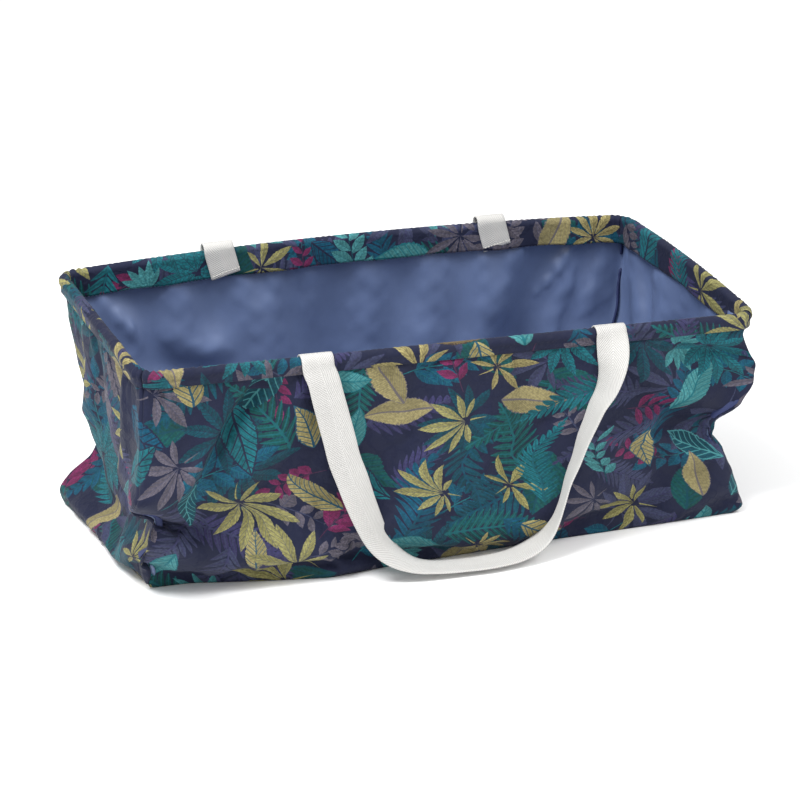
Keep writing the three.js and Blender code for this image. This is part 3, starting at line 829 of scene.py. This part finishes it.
DYE_DEPTH = 0.44                       # the inks dry darker on the navy cloth
LEAF_GROUP = make_leaf_group()
WEAVE_GROUP = make_weave_group()
CREASE_AND_SHADE_GROUP = make_crease_and_shade_group()
HERRINGBONE_GROUP = make_herringbone_group()
MATERIALS = {}


def dye(code):
    return (*linear(code), 1)


def new_material(name, **constants):
    """A material kept under its name, and a way to join what its shader takes."""
    material = MATERIALS[name] = bpy.data.materials.new(name)
    material.use_nodes = True
    w = Wiring(material.node_tree)
    shader = w.tree.nodes["Principled BSDF"].inputs
    for label, value in constants.items():
        shader[label.replace("_", " ")].default_value = value

    def finish(colour, roughness, normal):
        for label, value in (("Base Color", colour), ("Roughness", roughness), ("Normal", normal)):
            w.join(value, shader[label])
    return w, finish


def printed_cloth():
    w, finish = new_material("printed_cloth", Specular_IOR_Level=0.2, Sheen_Weight=0.03,
                             Sheen_Roughness=0.5)
    cut = w.cut()
    crease = w.group(CREASE_AND_SHADE_GROUP, Place=w.place(), Crinkle=0.5)
    weave = w.group(WEAVE_GROUP, Cut=cut, Threads_per_Metre=1700.0)
    grain = w.noise(cut, 420.0, 2.0, 0.6)
    colour = w.mix(w.noise(cut, 22.0), dye("#1f2644"), dye("#282e50"))
    for layer in reversed(range(LAYERS)):
        facts = {label: w.attribute(f"{label.lower()}_{layer}")
                 for label in ("Leaf", "Form", "Vein", "Ink", "Vein_Ink")}
        colour = w.group(LEAF_GROUP, Below=colour, Grain=grain, **facts)["Color"]
    threads = w.bump(weave["Height"], 0.00012, 0.5)
    # The colour takes the weave's tone, painted shade and light from the broad rumples, and the dye depth.
    finish(w.toned(colour, weave["Tone"], crease["Fade"], DYE_DEPTH),
           w.ramp(crease["Height"], 0.3, 1.2, 0.66, 0.8),
           w.bump(crease["Height"], 0.0016, 0.35, threads))


def coated_lining():
    w, finish = new_material("coated_lining", Specular_IOR_Level=0.5, Coat_Weight=0.3,
                             Coat_Roughness=0.38)
    place = w.place()
    crease = w.group(CREASE_AND_SHADE_GROUP, Place=place, Crinkle=0.05)
    weave = w.group(WEAVE_GROUP, Cut=w.cut(), Threads_per_Metre=2300.0)
    colour = w.mix(w.noise(place, 9.0), dye("#56668a"), dye("#5f6f93"))
    threads = w.bump(weave["Height"], 0.00006, 0.3)
    # The colour takes the weave's tone and painted shade and light from the broad rumples.
    finish(w.toned(colour, weave["Tone"], crease["Fade"]), w.ramp(crease["Height"], 0.3, 1.1, 0.4, 0.52),
           w.bump(crease["Height"], 0.0006, 0.15, threads))


def cotton_webbing():
    w, finish = new_material("cotton_webbing", Specular_IOR_Level=0.3, Sheen_Weight=0.15,
                             Sheen_Roughness=0.5)
    place = w.place()
    bone = w.group(HERRINGBONE_GROUP, Cut=w.cut())
    fuzz = w.noise(place, 900.0, 2.0, 0.6)
    colour = w.mix(w.noise(place, 30.0), (0.50, 0.492, 0.475, 1), (0.56, 0.552, 0.535, 1))
    finish(w.toned(colour, bone["Tone"]), w.ramp(fuzz, 0.2, 0.8, 0.82, 0.95),
           w.bump(bone["Height"] + fuzz * 0.3, 0.0006, 0.8))


def binding_tape():
    w, finish = new_material("binding_tape", Specular_IOR_Level=0.3)
    cut = w.cut()
    weave = w.group(WEAVE_GROUP, Cut=cut, Threads_per_Metre=1100.0)
    # The tape's own dark navy, close to the printed cloth's ground; where the tape pokes through a pinched
    # wall, this colour stands in as painted shade of the cloth.
    colour = w.mix(w.noise(cut, 60.0), dye("#232b4a"), dye("#2d3660"))
    finish(w.toned(colour, weave["Tone"]), w.ramp(weave["Height"], 0.0, 1.0, 0.6, 0.75),
           w.bump(weave["Height"], 0.0002, 0.6))


def fine_grained(name, dark, light, grain, roughness, bump, **constants):
    """Thread or wire: one fine noise sets its tone, roughness and relief."""
    w, finish = new_material(name, **constants)
    marks = w.noise(w.place(), *grain)
    finish(w.mix(marks, dark, light), w.ramp(marks, 0.2, 0.8, *roughness), w.bump(marks, *bump))


printed_cloth()
coated_lining()
cotton_webbing()
binding_tape()
for name, dark, light in (("white_thread", "#c9c6bd", "#f2f0ea"), ("navy_thread", "#1b2138", "#2d3658")):
    fine_grained(name, dye(dark), dye(light), (2600.0, 1.0), (0.45, 0.7), (0.0001, 0.5),
                 Specular_IOR_Level=0.4)
for name, dark, light in (("spring_steel", (0.34, 0.35, 0.37, 1), (0.52, 0.53, 0.55, 1)),
                          ("ferrule_metal", (0.55, 0.56, 0.58, 1), (0.72, 0.73, 0.75, 1))):
    fine_grained(name, dark, light, (700.0, 3.0, 0.7), (0.25, 0.45), (0.00005, 0.4), Metallic=1.0)


def finish_piece(piece, slot, body, node):
    """Its material, the node it stands for, and the body it moves with."""
    piece.data.materials.clear()
    piece.data.materials.append(MATERIALS[slot])
    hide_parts(node)
    if body == "between":
        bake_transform(piece)
    else:
        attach(piece, body)


def cloth_piece(name, outer, inner, flat, slot, body, node, blades=None, width=GIRTH):
    """A closed sheet of one finish, with leaves on its outer face where blades are given."""
    piece, printed = closed_sheet(name, outer, inner, flat)
    if blades:
        print_leaves(piece, printed, blades, width)
    finish_piece(piece, slot, body, node)
    return piece


def above(grid, floor_z):
    grid[..., 2] = np.maximum(grid[..., 2], floor_z)
    return grid


# ---------------------------------------------------------------- walls, linings and base
shell, shell_out, shell_flat = make_shell()
eased, eased_out = lining_line(shell)
wall_print = lay_out(WALL_SEED, GIRTH, CUT_HEIGHT)
for (name, count), first in zip(WALL_COLUMNS.items(), CORNER_COLUMNS):
    take = np.arange(first * FINER, (first + count) * FINER + 1) % shell.shape[1]
    flat = shell_flat[:, take].copy()
    if flat[0, -1, 0] < flat[0, -2, 0]:
        flat[:, -1, 0] += GIRTH
    surface = shell[:, take]
    reverse = above(surface - shell_out[:, take] * CLOTH, 0)
    panel = cloth_piece(f"{name}_panel_cloth", surface, reverse, flat, "printed_cloth", "between",
                        f"{name}_panel", wall_print)

    inside, normal = eased[:, take], eased_out[:, take]
    near, far = (above(inside - normal * (CLOTH + gap), LINING_FLOOR) for gap in (LINING_NEAR, LINING_FAR))
    lining = cloth_piece(f"{name}_lining_cloth", near, far, flat, "coated_lining", "between",
                         f"{name}_lining")


def base_patch(inset, lift):
    """A patch whose four sides lie along the foot of the walls, moved in by inset."""
    foot = (shell - shell_out * inset)[0, :, :2]
    a, b = WALL_COLUMNS["front"] * FINER, WALL_COLUMNS["right_end"] * FINER
    front = foot[:a + 1]
    right = foot[a:a + b + 1]
    back = foot[a + b:2 * a + b + 1][::-1]
    left = np.concatenate([foot[2 * a + b:], foot[:1]])[::-1]
    s, t = np.linspace(0, 1, a + 1)[None, :, None], np.linspace(0, 1, b + 1)[:, None, None]
    patch = (1 - t) * front[None] + t * back[None] + (1 - s) * left[:, None] + s * right[:, None]
    patch = patch - ((1 - s) * (1 - t) * front[0] + s * (1 - t) * front[-1]
                     + (1 - s) * t * back[0] + s * t * back[-1])
    height = lift + np.zeros(patch.shape[:2])
    return np.concatenate([patch, height[..., None]], axis=-1), patch


upper, patch = base_patch(CLOTH + 0.3 * MM, CLOTH)
lower, _ = base_patch(CLOTH + 0.3 * MM, 0.0)
# The base faces down, so its rows run the other way.
base = cloth_piece("base_panel_cloth", lower[::-1], upper[::-1], patch[::-1] + BASE_PRINT[0] / 2,
                   "printed_cloth", "bag_body", "base_panel", lay_out(BASE_SEED, *BASE_PRINT),
                   BASE_PRINT[0])

# The base lining is flat along its edges and rumples between them.
upper, patch = base_patch(CLOTH + 1.9 * MM, 2.3 * MM)
free = np.minimum.reduce([smoothstep(half - np.abs(patch[..., i]), 0, RUMPLE_EASE)
                          for i, half in enumerate(RUMPLE_HALF)])
rumple = RUMPLE * (1 + ripple(patch[..., 0], patch[..., 1], 77, 0.09)) * free
upper[..., 2] += np.clip(rumple, 0, RUMPLE_MOST)
lower = upper - np.array([0, 0, BASE_LINING_THICK])
lining = cloth_piece("base_lining_cloth", upper, lower, patch, "coated_lining", "bag_body", "base_lining")


# ---------------------------------------------------------------- seam bindings
def seam_binding(corner, column):
    """A folded tape over the raw corner seam, standing into the bag."""
    line, out = shell[:, column], eased_out[:, column]
    # Where the seam is pinched sharp, the tape is squeezed flat with it.
    sharp = np.linalg.norm(eased[:, column] - line, axis=-1, keepdims=True)
    depth = 1 - 0.9 * smoothstep(sharp, 3.3 * MM, 3.9 * MM)
    side = unit(np.cross(out, np.gradient(line, axis=0)))
    keep = np.flatnonzero((line[:, 2] > TAPE_FOOT) & (line[:, 2] < line[-1, 2] - TAPE_TOP))
    line, out, side, depth = line[keep], out[keep], side[keep], depth[keep]
    wander = 0.8 * MM * ripple(line[:, 2], 0 * line[:, 2], len(corner), 0.05)[:, None]
    # Sideways and inward, in millimetres; the inner face is a slimmer copy of the outer one.
    section = [(-1.1, 2.6), (-1.3, 5.0), (-1.2, 7.6), (-0.7, 8.6), (0.0, 8.9), (0.7, 8.6),
               (1.2, 7.6), (1.3, 5.0), (1.1, 2.6)]
    outer, inner = (np.stack([line + side * (x * slim * MM + wander * (z / 9))
                              - out * (2.6 + (z - back) * depth) * MM for x, z in section], axis=1)
                    for slim, back in ((1.0, 2.6), (0.35, 3.1)))
    flat = cut_map(np.arange(len(section))[None, :] * 1.9 * MM, line[:, 2][:, None])
    cloth_piece(f"{corner}_seam_tape", outer, inner, flat, "binding_tape", "between",
                f"{corner}_seam_binding")


for corner, column in zip(SEAMS, CORNER_COLUMNS * FINER):
    seam_binding(corner, column)

# ---------------------------------------------------------------- bands round the rim
RAILS = {"front": (-90, (-1, -1), (1, -1)), "right_end": (0, (1, -1), (1, 1)),
         "back": (90, (1, 1), (-1, 1)), "left_end": (180, (-1, 1), (-1, -1))}
SKIRT_STEPS = CORNER_STEPS = 9
STATION_PITCH = 2.8 * MM
HALF_TURN = 43.5                       # each band ends just short of the middle of a bend
LEFT_PUCKER = {"left_end": 1.0, "front": 0.75, "back": 0.25, "right_end": 0.3}


def rim_stations(name):
    """Points on the wire's line, the way out of the bag, and the length round the rim."""
    facing, start, end = RAILS[name]
    turns = np.linspace(-HALF_TURN, 0, CORNER_STEPS)
    ends = []
    for corner, angles in ((start, facing + turns), (end, facing - turns[::-1])):
        rad = np.radians(angles)
        out = np.stack([np.cos(rad), np.sin(rad)], axis=-1)
        middle = np.array(corner) * np.array([RAIL_X - WIRE_BEND, RAIL_Y - WIRE_BEND])
        ends.append((middle + out * WIRE_BEND, out))
    (first_xy, first_out), (last_xy, last_out) = ends
    run = np.linalg.norm(last_xy[0] - first_xy[-1])
    steps = max(2, round(run / STATION_PITCH))
    t = np.linspace(0, 1, steps + 1)[1:-1, None]
    straight = first_xy[-1] + (last_xy[0] - first_xy[-1]) * t
    xy = np.concatenate([first_xy, straight, last_xy])
    out = np.concatenate([first_out, np.repeat(first_out[-1:], len(straight), axis=0), last_out])
    xy[:, 0] += sprung(xy[:, 0], xy[:, 1])
    centre = np.column_stack([xy, crest(xy[:, 0], xy[:, 1]) - CASING])
    return centre, np.column_stack([out, np.zeros(len(out))]), lengths_along(xy)


def band_section():
    """The band's cloth from its outer seam, over the wire, to the hem: out and up, and length."""
    roll = [(CASING * math.cos(a), CASING * math.sin(a))
            for a in np.radians(np.linspace(-42, 180, 17))]
    flange = [(3.3 * MM, -9.6 * MM), (3.4 * MM, -7.2 * MM), (3.55 * MM, -5.0 * MM)]
    skirt = [(-CASING, -(BAND_DEPTH - CASING) * i / SKIRT_STEPS) for i in range(1, SKIRT_STEPS + 1)]
    line = np.array(flange + roll + skirt)
    along = np.gradient(line, axis=0)
    return line, unit(np.stack([along[:, 1], -along[:, 0]], axis=-1)), lengths_along(line)


def band_surface(name, offset=0.0):
    """The visible face of a band, section by stations, and its flat cut."""
    centre, out, along = rim_stations(name)
    line, normal, down = band_section()
    u = (CORNER_STARTS[name] + along)[None, :]
    w = down[:, None]
    total = along[-1]
    corner = smoothstep(np.minimum(along, total - along), 0.05, 0.0)[None, :]
    left = LEFT_PUCKER[name]
    if name == "front":
        left = left * smoothstep(along, 0.22, 0.05)[None, :] + 0.25
    ring = np.sin(u / PUCKER_PITCH * 2 * math.pi + 2.5 * ripple(u, 0 * u, 12, 0.045) + w * 90)
    ring = ring * (0.7 + 0.5 * ripple(u, 0 * u, 13, 0.04))
    on_roll = smoothstep(down, 0.004, 0.010) * smoothstep(down, 0.034, 0.026)
    pucker = ring * (0.15 + 0.7 * left + 0.4 * corner) * MM * on_roll[:, None]
    depth = smoothstep(down, 0.026, 0.048)[:, None]
    sway = ripple(u, w, 21, 0.085) * 1.1 * MM + ripple(u, w, 22, 0.03) * (0.25 + 0.9 * corner) * MM
    push = pucker + sway * depth + offset
    # Only the tops of the puckers stand out; the rest sinks, so the casing keeps its size.
    push = push - 0.3 * np.abs(pucker)
    lean = 1.2 * MM * depth * (1 + 0.5 * ripple(u, 0 * u, 23, 0.2))
    radial = line[:, 0][:, None] + normal[:, 0][:, None] * push - lean
    rise = line[:, 1][:, None] + normal[:, 1][:, None] * push
    ends = smoothstep(down, 0.030, 0.052)[:, None] * 0.6 * MM * ripple(u, 0 * u, 24, 0.05)
    surface = centre[None] + out[None] * radial[..., None]
    surface[..., 2] += rise + ends
    return surface, cut_map(u, w)


band_print = lay_out(BAND_SEED, GIRTH, 0.056, BAND_PITCHES)
hem_lines = {}
for name in RAILS:
    surface, flat = band_surface(name)
    reverse, _ = band_surface(name, -BAND_CLOTH)
    band = cloth_piece(f"{name}_band_cloth", surface, reverse, flat, "printed_cloth", "rim",
                       f"{name}_band", band_print)
    stitched, _ = band_surface(name, 0.15 * MM)
    hem_lines[name] = stitched[-1] * 0.88 + stitched[-2] * 0.12


# ---------------------------------------------------------------- rows of stitches
def make_stitch_tree():
    """One rounded stitch at each pitch along a line, each a little unequal."""
    w, given, out = new_group(
        "row of stitches",
        {"Geometry": "Geometry", "Pitch": 0.0032, "Stitch Length": 0.0024, "Thread Radius": 0.0003,
         "Seed": 3, "Thread": "Material"}, {"Geometry": "Geometry"}, "Geometry")
    line = w.step("GeometryNodeMeshToCurve", Mesh=given["Geometry"])["Curve"]
    points = w.step("GeometryNodeCurveToPoints", {"mode": "LENGTH"}, Curve=line, Length=given["Pitch"])
    bead = w.step("GeometryNodeMeshUVSphere", Segments=8, Rings=6, Radius=1.0)["Mesh"]
    radius = given["Thread Radius"]
    size = w.step("ShaderNodeCombineXYZ", X=radius, Y=radius, Z=given["Stitch Length"] * 0.5)[0]
    stitch = w.step("GeometryNodeTransform", Geometry=bead, Scale=size)["Geometry"]
    spread = w.node("FunctionNodeRandomValue", data_type="FLOAT")
    low, high = [s for s in spread.inputs if s.type == "VALUE" and s.name in ("Min", "Max")][:2]
    low.default_value, high.default_value = 0.88, 1.06
    w.join(given["Seed"], spread.inputs["Seed"])
    unequal = Value(w, [s for s in spread.outputs if s.type == "VALUE"][0])
    row = w.step("GeometryNodeInstanceOnPoints", Points=points["Points"], Instance=stitch,
                 Rotation=points["Rotation"], Scale=unequal)["Instances"]
    for kind in ("RealizeInstances", "SetShadeSmooth"):
        row = w.step(f"GeometryNode{kind}", Geometry=row)["Geometry"]
    row = w.step("GeometryNodeSetMaterial", Geometry=row, Material=given["Thread"])["Geometry"]
    w.join(row, out["Geometry"])
    return w.tree


STITCH_TREE = make_stitch_tree()


# The pitch, a stitch's length and the thread's radius.
HEM_STITCH, TAB_STITCH = (3.4 * MM, 2.5 * MM, 0.28 * MM), (3.0 * MM, 2.4 * MM, 0.3 * MM)


def stitch_row(name, line, thread, sizes, node):
    """Plain mesh stitches along a line of points, on the rim."""
    mesh = bpy.data.meshes.new(f"{name}_line")
    mesh.from_pydata([tuple(p) for p in line], [(i, i + 1) for i in range(len(line) - 1)], [])
    row = new_object(f"{name}_line", mesh)
    modifier = row.modifiers.new("stitches", "NODES")
    modifier.node_group = STITCH_TREE
    values = dict(zip(("Pitch", "Stitch Length", "Thread Radius"), sizes))
    values |= {"Seed": len(name), "Thread": MATERIALS[thread]}
    for item in STITCH_TREE.interface.items_tree:
        if item.in_out == "INPUT" and item.name in values:
            modifier[item.identifier] = values[item.name]
    bpy.context.view_layer.update()
    sewn = bpy.data.meshes.new_from_object(
        row.evaluated_get(bpy.context.evaluated_depsgraph_get()))
    sewn.name = name
    bpy.data.objects.remove(row)
    finish_piece(new_object(name, sewn), thread, "rim", node)


for name in RAILS:
    stitch_row(f"{name}_hem_stitches", hem_lines[name][CORNER_STEPS:-CORNER_STEPS], "navy_thread",
               HEM_STITCH, f"{name}_hem_stitching")

# ---------------------------------------------------------------- handles
# Below the crest: x, y, z in millimetres and the turn of the webbing's width, in degrees of plan.
FRONT_ROUTE = [
    (-124, -128, 191, 0), (-121, -130.5, 182, 0), (-118, -133, 167, -2), (-114, -135, 149, -5),
    (-110, -137, 131, -5), (-106, -139, 112, -4), (-100, -141, 94, -2), (-94, -142.5, 75, 8),
    (-87, -144, 56, 17), (-80, -145, 40, 26), (-71, -146, 27.5, 35), (-59, -147.5, 17.5, 45),
    (-45, -149.5, 10.5, 60), (-28, -151, 6.8, 78), (-6, -152.5, 5.4, 88), (20, -154, 5.2, 90),
    (46, -152.5, 6.8, 91), (64, -149.5, 11.5, 90), (77, -147, 20, 85), (86, -145, 32, 80),
    (93, -143.5, 48, 77), (99, -142.5, 66, 77), (106, -142, 83, 82), (112, -142, 100, 86),
    (120, -142, 118, 90), (126, -142, 131, 94), (134, -141.5, 143, 102),
    (138.5, -140.5, 154, 112), (141.5, -138.5, 165, 127), (143.5, -134, 176, 147),
    (144.5, -130, 184, 165)]
BACK_ROUTE = [
    (-133, 127.7, 216, 0), (-130, 128.5, 202, 0), (-125, 131, 182, 2), (-118, 135, 154, 3),
    (-110, 139, 124, 3), (-101, 143, 94, 0), (-90, 146, 64, -8), (-76, 149, 36, -28),
    (-58, 153, 15, -58), (-34, 158, 6.5, -78), (-6, 163, 5.2, -88), (22, 164, 5.2, -90), (48, 160, 6, -96),
    (68, 154, 13, -108), (82, 150, 32, -126), (93, 147, 58, -146), (103, 143, 88, -162),
    (113, 139, 120, -172), (122, 135, 152, -177), (130, 131, 182, -180), (133, 128.5, 201, -180),
    (134, 127.7, 214, -180)]
# Side of the bag, arch over the casing, both ends along the rail, route, turn at the right end.
HANDLES = {"front": (-1, 0.0, (-0.1245, 0.145), FRONT_ROUTE, 180),
           "back": (1, BACK_ARCH, (-0.134, 0.134), BACK_ROUTE, -180)}
# How a loop flattens when the rim is let down: square to its rail, from the rail's crest.
TAB_SLANT = {"front": 0.0, "back": 0.25}
WEBBING_MIDDLE = CASING + WEBBING_GAP + WEBBING_THICK / 2
ACROSS = 10


def smooth_path(knots, step=3.0 * MM):
    """A curve through the knots with even spacing; every column of a knot is carried along."""
    near = extended(knots)
    gaps = np.sqrt(np.maximum(np.linalg.norm(np.diff(near[:, :3], axis=0), axis=1), 1e-6))
    points = []
    for i in range(1, len(near) - 2):
        p0, p1, p2, p3 = near[i - 1:i + 3]
        g0, g1, g2 = gaps[i - 1:i + 2]
        m1 = (p2 - p1) + g1 * ((p1 - p0) / g0 - (p2 - p0) / (g0 + g1))
        m2 = (p2 - p1) + g1 * ((p3 - p2) / g2 - (p3 - p1) / (g1 + g2))
        for t in np.linspace(0, 1, 12, endpoint=False):
            points.append((2 * t**3 - 3 * t**2 + 1) * p1 + (t**3 - 2 * t**2 + t) * m1
                          + (-2 * t**3 + 3 * t**2) * p2 + (t**3 - t**2) * m2)
    points = np.array(points + [knots[-1]])
    length = lengths_along(points[:, :3])
    even = np.linspace(0, length[-1], max(2, round(length[-1] / step)) + 1)
    return np.stack([np.interp(even, length, column) for column in points.T], axis=-1), even


def webbing(name, centre, width, along, body, node):
    """A strip of webbing on a line of centres. width points across it."""
    tangent = unit(np.gradient(centre, axis=0))
    width = unit(width - tangent * (width * tangent).sum(axis=-1, keepdims=True))
    face = np.cross(tangent, width)
    across = np.linspace(-1, 1, ACROSS + 1)
    cup = 0.35 * MM * (1 - across**2)
    thin = WEBBING_THICK / 2 * (1 - 0.35 * np.abs(across) ** 6)
    spread = across[None, :, None] * WEBBING_WIDTH / 2 * width[:, None]
    middle = centre[:, None] + spread
    outer = middle - face[:, None] * (thin + cup * 0.4)[None, :, None]
    inner = middle + face[:, None] * (thin - cup * 0.4)[None, :, None]
    flat = cut_map(across[None, :] * WEBBING_WIDTH / 2, along[:, None])
    return cloth_piece(name, outer, inner, flat, "cotton_webbing", body, node)


def crest_point(side, arch, x, angle):
    y = side * RAIL_Y
    a = math.radians(angle)
    return (x, y + side * WEBBING_MIDDLE * math.cos(a),
            crest(x, y) - CASING + arch + WEBBING_MIDDLE * math.sin(a))


def handle_loop(rail):
    side, arch, (left, right), route, turn = HANDLES[rail]
    angles = (89.5, 62, 36, 12)
    down = [(*crest_point(side, arch, left, a), 0) for a in angles]
    up = [(*crest_point(side, arch, right, a), turn) for a in angles[::-1]]
    hanging = [(x * MM, y * MM, z * MM, plan) for x, y, z, plan in route]
    path, along = smooth_path(np.array(down + hanging + up))
    plan = np.radians(path[:, 3])
    width = np.stack([np.cos(plan), np.sin(plan), 0 * plan], axis=-1)
    loop = webbing(f"{rail}_handle_strap", path[:, :3], width, along, f"{rail}_handle",
                   f"{rail}_handle_webbing")
    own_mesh(loop)


def handle_tab(rail, hand, x):
    side, arch = HANDLES[rail][:2]
    y = side * RAIL_Y
    drift = TAB_SLANT[rail]
    over = [crest_point(side, arch, x, a) for a in (90.5, 110, 130, 150, 168)]
    inside = y - side * WEBBING_MIDDLE
    level = crest(x, y)
    down = [(x + drift * drop * MM, inside - side * off * MM, level - drop * MM)
            for drop, off in ((3.5, 0), (10, 0), (17, 0.3), (TAB_DROP / MM, 0))]
    path, along = smooth_path(np.array([(*p, 0) for p in over + down]), 1.6 * MM)
    # The strip runs down the inside; its width points the way that keeps its face to the hand.
    width = np.tile([side * 1.0, 0.0, 0.0], (len(path), 1))
    slope = (crest(x + 0.01, y) - crest(x - 0.01, y)) / 0.02
    hanging = smoothstep(level - path[:, 2], 2 * MM, 10 * MM)
    width[:, 2] = (slope + drift * hanging) * width[:, 0]
    webbing(f"{rail}_{hand}_tab_strap", path[:, :3], width, along, "rim", f"{rail}_{hand}_tab")
    face = inside - side * (WEBBING_THICK / 2 + 0.25 * MM)
    row = [(x + drift * TAB_DROP + d, face, level - TAB_DROP + 3.6 * MM + (slope + drift) * d)
           for d in np.linspace(-1, 1, 9) * (WEBBING_WIDTH / 2 - 2 * MM)]
    stitch_row(f"{rail}_{hand}_tab_stitches", row, "white_thread", TAB_STITCH,
               f"{rail}_{hand}_tab_stitching")


for rail, (_, _, ends, _, _) in HANDLES.items():
    handle_loop(rail)
    for hand, x in zip(("left", "right"), ends):
        handle_tab(rail, hand, x)

# ---------------------------------------------------------------- wire
for node, slot in (("rim_wire", "spring_steel"), ("wire_ferrule", "ferrule_metal")):
    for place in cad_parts[node].material_slots:
        place.material = MATERIALS[slot]
